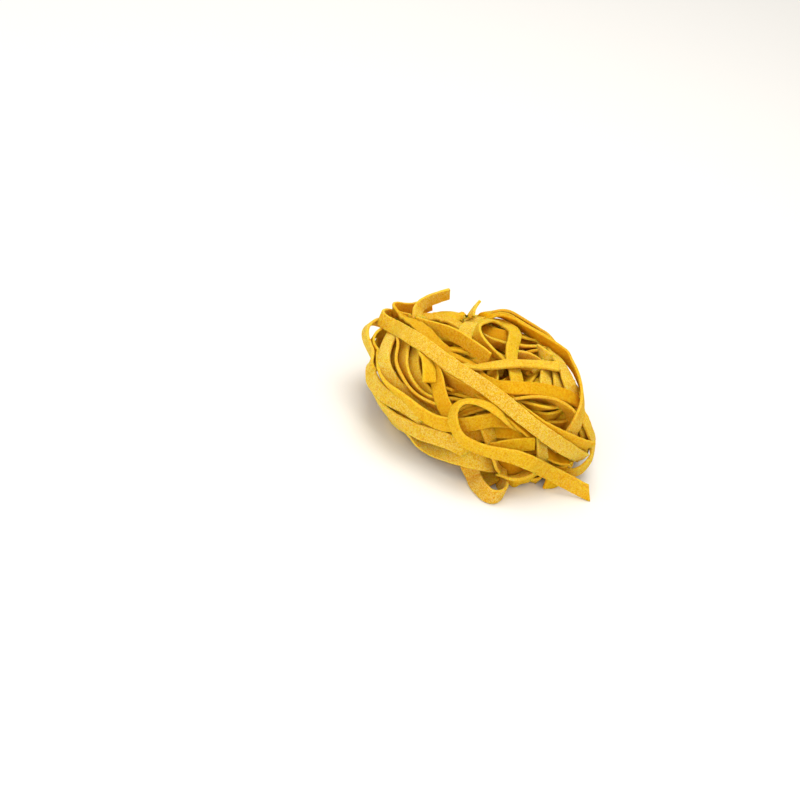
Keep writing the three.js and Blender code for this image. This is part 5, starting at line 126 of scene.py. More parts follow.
 ("u2", 0.965, -0.70, [0.2, 0.2], [-784,1310,55,707,-707,0,-885,1208,55,703,-711,0,-986,1107,54,702,-712,0,-1087,1008,58,706,-708,-2,-1188,909,75,718,-696,-5,-1288,807,109,751,-660,0,-1385,700,144,796,-604,26,-1475,584,165,843,-533,71,-1554,458,175,886,-448,117,-1618,323,179,922,-352,162,-1667,181,179,947,-246,208,-1696,34,173,959,-136,248,-1704,-115,159,963,-23,268,-1693,-264,141,960,89,266,-1663,-410,121,947,202,250,-1618,-552,102,926,315,210,-1559,-688,82,893,431,131,-1485,-816,65,843,536,49,-1396,-937,56,782,623,6,-1293,-1048,54,718,696,-1,-1181,-1150,55,653,757,0,-1059,-1242,55,589,808,0,-931,-1324,55,527,850,0,-797,-1398,55,465,885,0,-660,-1464,55,405,914,0,-519,-1523,55,339,941,0,-374,-1573,55,268,963,0,-226,-1611,55,190,982,0,-75,-1637,55,105,995,0,78,-1648,55,14,1000,0,231,-1646,55,-83,997,0,383,-1628,55,-183,983,0,531,-1593,55,-285,959,0,673,-1539,55,-380,925,0,808,-1470,55,-468,883,0,937,-1390,55,-548,836,0,1059,-1302,55,-619,785,0,1173,-1204,55,-687,727,0,1279,-1097,55,-749,662,0,1376,-982,55,-811,585,0,1461,-858,55,-869,495,0,1534,-727,55,-923,386,0,1591,-589,55,-967,255,0,1628,-444,55,-995,104,0,1638,-296,55,-998,-66,0,1613,-149,55,-974,-227,0,1557,-9,55,-925,-380,0,1479,123,55,-865,-502,0,1385,245,55,-802,-597,0,1279,358,55,-744,-668,0,1166,466,55,-700,-714,0,1048,573,55,-668,-744,0,927,677,55,-651,-759,0,804,777,55,-635,-773,0,682,869,55,-614,-789,0,564,955,55,-600,-800,0]),
 ("u3", 0.967, -0.70, [0.29, 0.29], [-2898,-366,295,444,885,-137,-2768,-435,267,437,889,-136,-2640,-503,235,426,896,-128,-2511,-568,200,409,905,-114,-2379,-631,169,387,917,-93,-2243,-689,145,358,932,-63,-2103,-742,137,322,946,-27,-1960,-788,145,278,960,10,-1815,-828,161,231,972,41,-1668,-860,175,185,981,56,-1519,-884,181,140,989,55,-1369,-901,180,98,994,42,-1218,-911,171,57,998,25,-1066,-915,161,20,1000,12,-914,-915,156,-8,1000,1,-763,-912,159,-31,999,-10,-614,-906,167,-53,998,-23,-465,-896,172,-78,996,-39,-316,-883,169,-105,993,-60,-168,-866,162,-136,987,-86,-22,-846,146,-171,979,-110,124,-823,121,-214,969,-122,268,-794,94,-263,959,-110,411,-760,72,-320,945,-71,551,-715,60,-388,921,-28,687,-658,56,-463,886,-5,815,-585,55,-543,840,0,934,-497,55,-614,789,0,1042,-397,55,-677,736,0,1141,-288,55,-720,694,0,1234,-176,55,-746,666,0,1332,-61,55,-769,640,0,1436,56,55,-789,614,0,1537,174,55,-824,566,0,1631,297,55,-869,494,0,1709,430,55,-915,404,0,1766,573,55,-956,292,0,1803,723,55,-984,176,0,1819,877,55,-998,55,0,1813,1032,55,-998,-56,0,1789,1187,55,-988,-156,0,1753,1338,55,-970,-244,0,1707,1485,55,-947,-321,0,1651,1627,55,-920,-393,0,1586,1763,55,-888,-460,0,1512,1895,55,-851,-526,0,1430,2021,55,-807,-590,0,1339,2139,55,-758,-652,0,1237,2249,55,-703,-712,0,1125,2349,55,-645,-764,0,1005,2439,56,-587,-809,-7,879,2518,67,-536,-844,-25,750,2587,104,-497,-867,-38,621,2653,153,-468,-883,-40,487,2718,182,-440,-897,-40,349,2780,188,-410,-911,-39,211,2840,191,-389,-920,-38,73,2897,195,-379,-925,-38]),
 ("u4", 1.022, -0.76, [0.15, 0.15], [3583,1451,1322,317,-433,-844,3559,1577,1248,321,-454,-831,3535,1701,1171,327,-479,-815,3513,1821,1089,341,-504,-794,3494,1936,1004,366,-519,-772,3470,2045,916,391,-525,-756,3429,2143,824,399,-535,-745,3363,2223,730,388,-556,-736,3269,2274,642,371,-586,-720,3153,2296,565,358,-623,-696,3028,2298,498,348,-661,-665,2898,2288,439,341,-699,-628,2766,2271,386,334,-736,-589,2633,2248,339,329,-770,-547,2497,2218,300,326,-801,-502,2361,2181,270,327,-829,-454,2224,2138,251,335,-850,-407,2087,2088,241,348,-865,-362,1950,2032,241,367,-872,-325,1813,1971,246,387,-874,-296,1675,1908,246,403,-874,-273,1536,1848,231,411,-876,-252,1399,1791,200,412,-884,-222,1264,1738,154,406,-896,-181,1132,1688,108,402,-906,-134,999,1635,77,410,-908,-83,863,1576,62,435,-900,-37,727,1509,57,472,-882,-10,594,1436,55,513,-859,-1,465,1355,55,553,-833,0,341,1267,55,591,-806,0,223,1172,55,624,-781,0,109,1074,55,645,-764,0,-5,974,55,654,-756,0,-125,874,55,661,-751,0,-248,772,55,681,-732,0,-367,667,55,719,-695,0,-475,556,55,768,-640,0,-571,436,55,819,-573,0,-652,308,55,864,-503,0,-719,173,55,902,-431,-3,-775,33,58,931,-364,-18,-820,-109,71,952,-303,-47,-855,-250,104,966,-248,-68,-881,-390,155,978,-195,-69,-898,-530,211,989,-140,-53,-911,-673,255,995,-90,-35,-919,-823,271,998,-54,-23,-925,-978,266,999,-39,-16,-930,-1137,261,999,-35,-14]),
 ("u5", 0.980, -0.59, [0.23, 0.23], [1532,2860,163,-87,-933,349,1382,2880,179,-56,-937,346,1232,2896,195,-14,-940,340,1081,2904,204,45,-943,330,932,2896,195,121,-946,300,794,2868,156,239,-943,231,668,2821,100,394,-911,120,546,2751,63,523,-852,22,425,2663,54,614,-790,-5,312,2561,55,684,-729,0,209,2449,55,746,-666,0,116,2329,55,795,-607,0,32,2202,55,833,-553,0,-43,2071,55,863,-506,0,-114,1936,55,884,-467,0,-181,1800,55,904,-428,0,-247,1663,55,922,-388,0,-309,1525,55,944,-330,0,-365,1384,55,968,-253,0,-409,1240,55,989,-148,0,-437,1092,55,1000,-13,0,-438,942,55,990,140,0,-404,796,55,952,307,0,-340,658,55,886,463,0,-258,530,55,794,608,0,-159,415,55,674,739,0,-44,318,55,524,851,0,87,248,55,352,936,0,230,209,55,157,988,0,378,204,55,-33,999,0,524,231,55,-216,976,0,663,285,55,-369,930,0,794,361,55,-493,870,0,915,455,55,-585,811,0,1029,560,55,-644,765,0,1140,671,55,-674,739,0,1248,782,55,-678,735,0,1354,888,55,-665,747,0,1465,986,55,-631,775,0,1585,1075,55,-593,805,0,1714,1157,55,-562,827,0,1847,1239,55,-549,836,0]),
 ("i1", 0.971, -0.62, [0.24, 0.24], [1907,3186,1548,-54,51,-997,1768,3248,1559,-55,48,-997,1628,3309,1569,-56,44,-997,1485,3366,1580,-54,42,-998,1337,3417,1590,-48,43,-998,1186,3458,1599,-43,43,-998,1032,3488,1607,-39,42,-998,876,3506,1614,-32,42,-999,720,3514,1618,-23,46,-999,564,3513,1621,-14,53,-998,409,3507,1622,-10,63,-998,256,3495,1622,-14,76,-997,104,3479,1624,-26,89,-996,-46,3457,1627,-43,102,-994,-194,3429,1631,-59,115,-992,-340,3395,1637,-72,128,-989,-484,3354,1643,-83,143,-986,-627,3309,1649,-92,157,-983,-768,3262,1655,-104,170,-980,-909,3212,1661,-120,182,-976,-1049,3159,1670,-138,190,-972,-1186,3102,1679,-157,194,-968,-1320,3040,1689,-176,196,-965,-1451,2972,1701,-197,195,-961,-1579,2901,1714,-219,192,-957,-1705,2825,1729,-242,186,-952,-1827,2744,1746,-265,178,-948,-1944,2656,1764,-288,168,-943,-2058,2564,1784,-312,157,-937,-2167,2467,1806,-336,145,-931,-2270,2364,1829,-362,132,-923,-2367,2255,1853,-388,120,-914,-2456,2141,1877,-415,106,-904,-2534,2019,1901,-444,91,-891,-2601,1890,1923,-477,75,-876,-2651,1753,1940,-513,53,-857,-2685,1610,1954,-553,24,-833,-2707,1464,1966,-596,-10,-803,-2726,1318,1987,-629,-49,-776,-2751,1177,2021,-642,-89,-761,-2779,1041,2064,-643,-122,-756,-2802,908,2108,-641,-143,-754,-2817,774,2148,-640,-157,-752,-2828,640,2186,-640,-169,-749,-2837,506,2224,-642,-183,-745,-2834,372,2253,-653,-199,-731,-2801,241,2256,-685,-242,-687,-2740,114,2241,-715,-313,-625,-2677,-16,2242,-710,-376,-596,-2626,-149,2271,-677,-414,-609,-2579,-280,2312,-635,-435,-638,-2531,-409,2352,-588,-443,-677,-2480,-540,2394,-533,-444,-720,-2421,-675,2435,-481,-441,-758,-2351,-806,2468,-448,-432,-783,-2270,-926,2488,-431,-421,-798,-2175,-1030,2489,-422,-413,-807,-2061,-1109,2468,-408,-424,-809,-1931,-1165,2433,-380,-453,-807,-1796,-1219,2404,-346,-471,-812,-1660,-1271,2383,-314,-479,-820,-1520,-1311,2360,-293,-495,-818,-1383,-1354,2345,-286,-494,-821,-1249,-1405,2333,-297,-457,-839,-1112,-1445,2308,-329,-402,-854,-973,-1468,2262,-374,-359,-855,-837,-1499,2208,-420,-343,-840,-706,-1557,2157,-452,-344,-823,-581,-1644,2117,-464,-349,-814,-462,-1749,2088,-468,-363,-806,-345,-1861,2067,-469,-378,-798,-234,-1980,2055,-460,-391,-797,-129,-2102,2051,-439,-408,-801,-17,-2211,2046,-402,-437,-804,109,-2299,2034,-355,-472,-807,245,-2367,2021,-304,-498,-812,388,-2413,2006,-251,-513,-821,536,-2432,1984,-208,-526,-825,687,-2429,1952,-183,-538,-823,839,-2424,1919,-184,-553,-813,989,-2440,1898,-211,-583,-785,1135,-2480,1886,-246,-623,-742,1277,-2521,1865,-273,-635,-722,1415,-2545,1827,-274,-614,-740,1552,-2550,1777,-249,-584,-773,1685,-2530,1718,-211,-553,-806,1812,-2484,1656,-167,-523,-836,1930,-2417,1595,-122,-491,-863,2037,-2330,1537,-78,-454,-888,2130,-2226,1483,-38,-415,-909,2217,-2112,1437,-13,-368,-930,2311,-2000,1400,-7,-315,-949,2412,-1890,1370,-16,-268,-963,2519,-1780,1341,-30,-236,-971,2634,-1676,1313,-45,-216,-975,2752,-1579,1286,-53,-199,-978,2866,-1485,1260,-55,-182,-982,2971,-1384,1236,-52,-160,-986,3069,-1275,1214,-52,-132,-990,3161,-1160,1196,-56,-102,-993,3250,-1040,1181,-63,-77,-995,3334,-915,1167,-68,-57,-996,3414,-786,1155,-68,-42,-997,3490,-655,1146,-63,-31,-998,3562,-521,1138,-54,-23,-998,3627,-382,1132,-44,-13,-999,3683,-239,1128,-34,-2,-999,3727,-93,1128,-24,9,-1000,3754,55,1129,-15,19,-1000,3764,203,1132,-4,27,-1000,3761,351,1137,9,33,-999,3747,498,1142,25,39,-999,3721,644,1147,44,46,-998,3684,786,1152,65,59,-996,3635,925,1156,85,85,-993,3576,1061,1164,100,124,-987,3512,1196,1176,105,164,-981,3450,1331,1195,99,195,-976,3391,1464,1217,87,215,-973,3334,1596,1243,74,225,-972,3280,1728,1270,63,230,-971,3226,1858,1298,58,232,-971,3171,1988,1326,56,233,-971]),
 ("i2", 1.019, -0.77, [0.12, 0.12], [-3228,271,1355,-34,-129,-991,-3225,122,1375,-35,-130,-991,-3218,-26,1394,-35,-135,-990,-3205,-174,1414,-37,-141,-989,-3185,-320,1435,-38,-151,-988,-3156,-464,1456,-39,-163,-986,-3119,-605,1479,-40,-178,-983,-3072,-743,1503,-40,-195,-980,-3017,-877,1529,-40,-214,-976,-2953,-1006,1556,-40,-236,-971,-2880,-1131,1584,-39,-260,-965,-2799,-1250,1614,-38,-285,-958,-2710,-1362,1646,-35,-313,-949,-2612,-1468,1678,-32,-343,-939,-2506,-1564,1712,-28,-375,-927,-2392,-1651,1745,-23,-409,-912,-2270,-1726,1777,-16,-446,-895,-2141,-1789,1808,-9,-484,-875,-2009,-1842,1838,-1,-518,-855,-1873,-1886,1866,8,-545,-838,-1735,-1918,1889,19,-569,-822,-1591,-1934,1904,37,-598,-801,-1445,-1931,1910,71,-638,-767,-1298,-1912,1909,121,-686,-717,-1151,-1885,1911,179,-726,-664,-1005,-1862,1929,234,-743,-627,-860,-1843,1963,287,-745,-602,-717,-1818,2004,344,-740,-578,-577,-1778,2043,399,-730,-555,-442,-1729,2087,453,-712,-537,-318,-1691,2158,508,-674,-537,-202,-1665,2252,556,-622,-552,-87,-1637,2349,576,-573,-583,32,-1607,2439,567,-530,-631,153,-1590,2528,548,-501,-670,277,-1581,2617,533,-492,-689,406,-1544,2683,530,-482,-698,526,-1462,2714,541,-461,-704,629,-1352,2724,564,-429,-706,717,-1230,2728,593,-391,-703,794,-1100,2729,622,-357,-697,861,-964,2727,647,-330,-687,921,-821,2721,665,-318,-676,977,-675,2708,677,-318,-664,1031,-529,2693,687,-330,-647,1089,-388,2679,700,-359,-617,1149,-252,2663,714,-397,-576,1209,-118,2639,731,-432,-529,1265,13,2603,751,-454,-478,1315,141,2555,776,-463,-428,1361,267,2498,800,-463,-383,1412,395,2449,821,-459,-339,1476,528,2427,845,-450,-290,1546,661,2429,866,-435,-247,1614,795,2441,884,-412,-218,1679,929,2459,901,-383,-204,1739,1064,2480,915,-348,-203,1794,1202,2499,927,-308,-213,1842,1344,2509,935,-266,-235,1878,1488,2508,938,-222,-264,1905,1634,2496,938,-182,-296,1925,1779,2481,931,-144,-335,1941,1924,2470,915,-108,-388,1947,2070,2454,896,-70,-439,1938,2211,2418,876,-32,-481,1911,2346,2365,856,6,-516,1872,2476,2305,832,43,-553,1824,2604,2248,796,78,-600,1770,2733,2199,749,107,-654,1709,2861,2158,686,129,-716,1639,2985,2123,610,138,-780,1552,3097,2086,536,135,-833,1445,3184,2042,481,117,-869,1326,3239,1990,453,81,-888,1200,3262,1931,444,38,-895,1073,3269,1868,444,1,-896,947,3274,1803,442,-21,-897,820,3279,1739,437,-29,-899,691,3282,1675,423,-29,-906,558,3280,1615,399,-23,-917,422,3272,1558,368,-15,-930,284,3259,1506,335,-8,-942,144,3240,1460,302,-5,-953,4,3217,1418,270,-7,-963,-138,3190,1382,240,-14,-971,-279,3157,1350,214,-22,-977,-419,3119,1322,192,-30,-981,-558,3075,1298,173,-39,-984,-696,3027,1278,156,-48,-987,-834,2977,1260,141,-58,-988,-972,2924,1244,128,-67,-990,-1109,2868,1232,116,-76,-990,-1246,2809,1221,106,-84,-991,-1382,2747,1213,97,-92,-991,-1516,2681,1207,90,-99,-991,-1647,2610,1203,84,-104,-991,-1776,2533,1200,79,-108,-991,-1900,2451,1200,75,-111,-991,-2019,2362,1201,73,-113,-991,-2130,2265,1204,71,-114,-991,-2235,2162,1209,70,-114,-991]),
 ("i3", 0.979, 0.29, [0.19, 0.19], [1406,-1236,365,-46,774,-631,1540,-1199,401,-46,767,-640,1678,-1167,429,-52,759,-649,1820,-1139,449,-66,747,-661,1963,-1110,466,-86,733,-674,2107,-1076,483,-110,717,-689,2249,-1035,499,-137,698,-703,2389,-986,517,-164,677,-717,2524,-929,535,-185,657,-731,2655,-866,555,-192,642,-742,2788,-801,574,-186,634,-750,2924,-733,597,-174,631,-756,3055,-659,631,-158,628,-762,3173,-577,677,-142,615,-776,3279,-487,729,-138,589,-797,3375,-386,784,-137,554,-821,3459,-277,841,-134,517,-846,3528,-159,898,-126,481,-868,3581,-34,957,-111,447,-888,3613,98,1016,-90,416,-905,3627,232,1074,-63,391,-918,3626,367,1130,-37,369,-928,3612,503,1182,-15,350,-937,3584,638,1231,5,335,-942,3542,770,1275,23,325,-946,3487,899,1317,37,319,-947,3425,1028,1358,46,314,-948,3364,1160,1398,49,302,-952,3307,1294,1437,53,281,-958,3252,1427,1472,59,257,-964,3199,1560,1502,67,237,-969,3143,1692,1529,80,224,-971,3085,1821,1553,97,218,-971,3022,1948,1574,113,217,-970,2955,2072,1593,124,217,-968,2882,2193,1609,130,213,-968,2801,2310,1623,131,205,-970,2711,2422,1634,132,194,-972,2613,2527,1641,133,182,-974,2509,2627,1644,135,169,-976,2399,2721,1645,138,153,-979,2283,2809,1642,143,135,-980,2163,2890,1634,151,113,-982,2037,2965,1622,161,88,-983,1908,3031,1605,172,60,-983,1777,3090,1584,178,33,-983,1646,3147,1560,174,10,-985,1516,3206,1536,152,-8,-988,1381,3267,1515,115,-23,-993,1241,3322,1500,79,-32,-996,1095,3361,1490,55,-27,-998,945,3387,1483,44,-14,-999,792,3401,1476,43,-1,-999,639,3405,1469,47,10,-999,484,3401,1462,54,18,-998,330,3390,1452,61,24,-998,178,3373,1442,68,30,-997,27,3351,1431,75,36,-997,-120,3323,1418,79,44,-996,-266,3291,1405,79,52,-996,-410,3256,1391,75,58,-995,-554,3218,1378,70,62,-996,-698,3177,1366,65,65,-996,-840,3131,1354,61,68,-996,-982,3081,1342,59,69,-996,-1123,3028,1330,58,69,-996,-1263,2972,1318,59,66,-996,-1400,2911,1306,61,61,-996,-1534,2845,1293,64,57,-996,-1665,2773,1281,69,53,-996,-1793,2696,1268,76,48,-996,-1918,2614,1254,86,43,-995,-2037,2525,1240,97,40,-994,-2150,2429,1224,109,39,-993,-2257,2326,1208,123,40,-992,-2356,2215,1190,136,44,-990,-2446,2097,1172,150,49,-987,-2527,1974,1153,165,57,-985,-2601,1846,1132,180,66,-981,-2667,1715,1110,195,77,-978,-2726,1580,1086,211,91,-973,-2777,1443,1061,226,106,-968,-2820,1303,1034,241,123,-963,-2855,1161,1006,256,142,-956,-2882,1019,976,270,163,-949,-2900,875,944,284,185,-941,-2909,731,911,297,210,-931,-2909,586,876,309,237,-921,-2900,442,840,320,265,-909,-2881,300,803,331,296,-896,-2852,158,765,340,328,-882,-2813,20,726,347,362,-865,-2763,-115,687,353,399,-846,-2703,-246,647,357,437,-826,-2631,-372,609,359,477,-802,-2549,-491,572,360,517,-777,-2457,-603,536,358,558,-748,-2356,-708,504,355,600,-717,-2245,-804,474,348,642,-683,-2127,-891,448,338,684,-646,-2002,-969,428,325,726,-606,-1870,-1037,413,307,768,-563,-1733,-1096,404,284,808,-517,-1592,-1145,400,255,845,-471,-1448,-1185,401,222,877,-426,-1302,-1216,409,183,907,-380,-1154,-1239,417,141,931,-337,-1006,-1257,419,100,948,-303,-856,-1269,414,62,959,-276,-707,-1278,404,26,966,-257,-559,-1282,390,-3,969,-248,-411,-1283,376,-21,970,-243,-262,-1281,366,-29,971,-238,-113,-1277,361,-33,972,-234,36,-1273,358,-33,972,-233,186,-1268,356,-33,972,-232,336,-1263,355,-33,972,-231]),
 ("i4", 0.973, -0.40, [0.41, 0.41], [2603,1488,753,-450,237,-861,2596,1632,797,-450,237,-861,2583,1774,843,-448,239,-862,2559,1913,894,-443,241,-864,2524,2046,949,-435,243,-867,2477,2173,1008,-427,242,-871,2418,2294,1070,-418,242,-876,2348,2408,1134,-409,242,-880,2268,2512,1200,-401,245,-883,2176,2607,1267,-394,248,-885,2076,2691,1336,-389,254,-886,1967,2765,1404,-385,262,-885,1851,2827,1473,-383,271,-883,1730,2878,1541,-383,282,-880,1604,2917,1609,-385,293,-875,1474,2944,1676,-390,306,-868,1342,2957,1741,-398,319,-860,1208,2958,1804,-409,333,-850,1074,2945,1864,-422,346,-838,940,2920,1922,-438,360,-824,808,2881,1977,-457,372,-808,679,2831,2028,-479,383,-790,554,2769,2076,-503,393,-770,433,2695,2120,-529,402,-747,317,2611,2158,-558,408,-723,208,2517,2191,-588,412,-696,106,2412,2218,-622,411,-666,11,2297,2238,-659,405,-633,-77,2176,2254,-698,394,-598,-162,2055,2278,-732,376,-568,-247,1935,2313,-757,348,-553,-327,1814,2352,-779,315,-542,-398,1686,2385,-802,282,-527,-458,1551,2410,-825,248,-509,-509,1411,2429,-847,213,-487,-553,1270,2451,-865,175,-471,-592,1127,2478,-875,134,-465,-624,982,2504,-882,93,-461,-645,835,2523,-889,53,-455,-656,686,2534,-894,15,-449,-657,536,2539,-897,-19,-442,-651,387,2539,-899,-48,-434,-638,239,2535,-901,-71,-427,-622,92,2528,-903,-89,-420,-602,-55,2519,-905,-101,-414,-579,-202,2507,-907,-109,-407,-555,-349,2495,-909,-114,-401,-531,-495,2482,-911,-117,-396,-507,-641,2471,-912,-120,-392,-484,-785,2462,-914,-123,-388,-460,-928,2451,-915,-124,-384,-435,-1069,2437,-916,-124,-381,-405,-1207,2412,-919,-121,-375,-368,-1334,2361,-920,-112,-375,-322,-1444,2279,-918,-97,-384,-270,-1543,2179,-913,-99,-397,-216,-1644,2079,-902,-123,-414,-164,-1759,2001,-883,-147,-446,-116,-1892,1955,-854,-166,-493,-65,-2030,1922,-818,-183,-545,-4,-2160,1883,-782,-191,-593,70,-2271,1827,-754,-182,-631,157,-2358,1752,-736,-161,-658,252,-2418,1664,-723,-134,-678,351,-2455,1567,-714,-106,-692,453,-2471,1466,-707,-77,-703,556,-2469,1364,-701,-49,-712,659,-2450,1263,-696,-21,-717,760,-2413,1165,-694,6,-720,857,-2358,1073,-694,31,-719,950,-2287,988,-697,54,-715,1037,-2200,911,-701,74,-709,1117,-2099,843,-707,92,-701,1190,-1987,786,-714,106,-692,1255,-1864,739,-722,119,-682,1311,-1734,702,-729,130,-672,1362,-1598,674,-737,139,-662,1408,-1458,653,-743,148,-652,1454,-1315,634,-746,158,-646,1500,-1171,617,-747,166,-643,1545,-1028,602,-747,172,-642,1588,-884,591,-747,176,-641,1630,-740,582,-747,179,-640]),
 ("i5", 0.990, -0.69, [0.28, 0.28], [-1256,1240,652,95,-589,-802,-1400,1199,666,94,-588,-804,-1543,1153,682,94,-585,-806,-1683,1103,702,95,-580,-809,-1820,1046,727,95,-575,-813,-1952,982,756,95,-568,-818,-2078,910,791,95,-559,-823,-2196,830,832,93,-550,-830,-2306,741,877,91,-540,-836,-2406,645,929,87,-530,-843,-2494,540,985,82,-520,-850,-2569,428,1045,75,-510,-857,-2630,310,1109,67,-501,-863,-2676,187,1176,57,-492,-869,-2707,61,1245,46,-485,-873,-2723,-68,1315,34,-479,-877,-2724,-199,1385,21,-474,-880,-2711,-329,1455,8,-472,-882,-2685,-457,1524,-6,-471,-882,-2645,-583,1590,-19,-474,-881,-2593,-705,1654,-32,-478,-878,-2528,-822,1716,-43,-486,-873,-2451,-932,1773,-53,-497,-866,-2362,-1034,1826,-61,-511,-857,-2262,-1127,1875,-67,-527,-847,-2151,-1209,1918,-71,-544,-836,-2030,-1279,1953,-72,-564,-823,-1899,-1336,1981,-71,-584,-809,-1762,-1379,2001,-66,-605,-794,-1620,-1411,2014,-57,-624,-780,-1475,-1435,2024,-45,-636,-770,-1325,-1452,2031,-34,-642,-766,-1173,-1459,2031,-24,-644,-765,-1020,-1460,2028,-12,-644,-765,-869,-1461,2028,4,-646,-763,-720,-1464,2032,24,-654,-756,-570,-1465,2039,48,-659,-751,-419,-1465,2052,73,-654,-753,-267,-1472,2075,95,-647,-756,-116,-1482,2105,113,-641,-760,34,-1488,2133,128,-632,-764,186,-1485,2158,139,-623,-770,338,-1479,2181,147,-612,-777,484,-1470,2202,156,-597,-787,627,-1451,2217,170,-585,-793,772,-1422,2227,193,-575,-795,918,-1392,2242,227,-565,-793,1063,-1364,2264,268,-552,-790,1205,-1324,2287,312,-541,-781,1341,-1266,2306,355,-530,-770,1469,-1190,2320,399,-520,-756,1587,-1101,2327,436,-512,-740,1699,-1007,2332,462,-507,-728,1806,-909,2335,474,-507,-720,1910,-810,2336,479,-509,-715,2013,-710,2334,480,-511,-713,2117,-610,2332,477,-511,-715,2221,-509,2329,472,-510,-719,2322,-404,2320,467,-506,-725,2418,-293,2305,461,-501,-733,2507,-177,2282,456,-494,-740,2587,-55,2250,450,-486,-749,2658,71,2212,444,-476,-759,2724,199,2172,437,-465,-770,2787,326,2132,429,-453,-781,2842,453,2089,420,-445,-791,2884,583,2039,408,-439,-800,2912,713,1982,396,-438,-807,2924,844,1918,382,-439,-813,2922,972,1848,367,-444,-817,2906,1098,1772,353,-450,-820,2877,1220,1693,339,-459,-821,2836,1336,1611,325,-470,-821,2785,1447,1527,311,-482,-819,2724,1552,1442,298,-496,-815,2653,1649,1357,287,-512,-810,2573,1738,1271,278,-528,-802,2483,1820,1186,271,-544,-794,2385,1893,1102,268,-558,-786,2277,1954,1021,265,-570,-777,2160,2001,946,263,-583,-769,2035,2036,876,262,-595,-760,1903,2057,814,262,-607,-750,1766,2065,759,264,-618,-741,1626,2062,711,267,-628,-731,1483,2048,670,270,-637,-722,1340,2024,638,274,-646,-713,1197,1991,612,278,-653,-704,1054,1950,594,282,-659,-697,914,1901,583,286,-664,-690,775,1844,580,289,-669,-685,638,1782,583,292,-672,-680,504,1715,591,294,-675,-677,371,1644,604,295,-677,-674,240,1571,620,295,-678,-673]),
 ("t1", 1.009, -0.15, [0.36, 0.36], [1195,681,2662,766,-474,-434,1274,805,2674,755,-443,-483,1353,930,2689,735,-412,-539,1434,1056,2706,705,-402,-585,1526,1162,2740,684,-438,-583,1630,1241,2793,677,-506,-534,1730,1321,2828,690,-542,-480,1805,1421,2803,744,-522,-418,1846,1531,2729,833,-436,-340,1869,1645,2653,912,-314,-265,1894,1769,2628,947,-229,-226,1928,1884,2678,954,-159,-253,1953,1993,2736,946,-87,-312,1951,2115,2725,937,-55,-344,1936,2241,2669,935,-44,-353,1924,2371,2617,932,-25,-361,1912,2504,2568,926,20,-378,1889,2636,2511,915,91,-394,1852,2766,2451,889,171,-425,1799,2889,2392,846,260,-465,1726,3002,2334,795,359,-488,1638,3112,2291,725,450,-522,1539,3217,2267,638,511,-576,1428,3313,2254,544,558,-627,1309,3399,2245,450,585,-675,1182,3474,2241,357,591,-723,1046,3529,2232,274,590,-759,902,3561,2215,203,595,-778,755,3572,2194,136,605,-784,607,3570,2174,71,615,-785,458,3560,2159,5,624,-781,309,3546,2152,-60,631,-773,161,3528,2155,-125,635,-762,13,3508,2169,-190,635,-749,-134,3485,2192,-254,630,-734,-278,3457,2224,-318,623,-715,-419,3422,2262,-384,613,-691,-555,3374,2301,-452,610,-651,-685,3310,2336,-528,615,-586,-807,3230,2366,-610,619,-494,-919,3138,2394,-693,611,-383,-1020,3035,2424,-770,585,-253,-1110,2924,2461,-830,544,-122,-1184,2808,2514,-875,483,-27,-1240,2687,2578,-910,413,29,-1280,2560,2642,-930,353,101,-1314,2429,2688,-925,313,217,-1356,2308,2688,-894,232,384,-1407,2210,2636,-819,50,571,-1435,2113,2582,-682,-106,724,-1399,2009,2574,-542,-108,833,-1304,1929,2610,-463,-21,886,-1186,1881,2666,-434,58,899,-1070,1830,2726,-420,108,901,-976,1743,2781,-412,117,904,-910,1619,2826,-405,96,909,-871,1475,2857,-396,75,915,-851,1321,2876,-390,61,919]),
 ("t2", 1.028, -0.50, [0.22, 0.22], [172,430,2864,-2,-951,309,312,408,2806,22,-961,277,459,404,2775,57,-972,228,612,418,2778,98,-981,164,767,442,2800,125,-986,108,924,469,2813,138,-989,49,1080,497,2802,127,-991,-38,1229,526,2757,81,-986,-147,1361,558,2683,-20,-968,-251,1485,579,2604,-156,-928,-337,1613,557,2572,-252,-880,-403,1735,488,2604,-299,-846,-441,1855,403,2657,-316,-830,-459,1985,326,2690,-306,-826,-473,2124,270,2694,-274,-833,-480,2268,235,2673,-227,-849,-477,2414,212,2647,-178,-861,-477,2561,191,2640,-128,-865,-485,2707,164,2658,-86,-871,-483,2852,142,2683,-50,-883,-467,2993,142,2669,-9,-889,-458,3113,174,2600,53,-889,-456,3200,231,2496,145,-878,-456,3259,302,2380,243,-850,-467,3298,384,2261,324,-808,-493,3328,474,2145,386,-757,-527,3358,572,2037,434,-705,-561,3384,677,1936,470,-652,-595,3407,789,1842,497,-598,-629,3428,907,1755,517,-544,-661,3446,1031,1676,526,-492,-694,3459,1159,1603,516,-444,-732,3463,1289,1534,487,-401,-776,3455,1421,1469,435,-366,-823,3435,1552,1408,369,-336,-867,3406,1684,1351,300,-307,-903,3371,1817,1300,237,-278,-931,3335,1950,1256,175,-253,-951,3301,2083,1218,104,-239,-965,3270,2216,1185,26,-236,-971,3229,2345,1155,-41,-237,-971,3168,2469,1129,-92,-235,-968,3085,2585,1111,-134,-218,-967,2988,2696,1103,-172,-189,-967,2890,2805,1104,-207,-163,-965,2792,2911,1112,-233,-148,-961,2691,3012,1124,-248,-144,-958,2586,3106,1138,-256,-144,-956,2474,3191,1156,-262,-145,-954,2356,3266,1178,-267,-146,-953,2232,3333,1203,-273,-145,-951,2104,3392,1231,-282,-143,-949,1973,3444,1264,-292,-139,-946,1839,3488,1299,-302,-136,-944,1704,3526,1338,-311,-133,-941,1566,3557,1380,-318,-131,-939,1427,3583,1424,-323,-129,-938,1287,3604,1470,-326,-128,-937,1146,3624,1516,-326,-126,-937]),
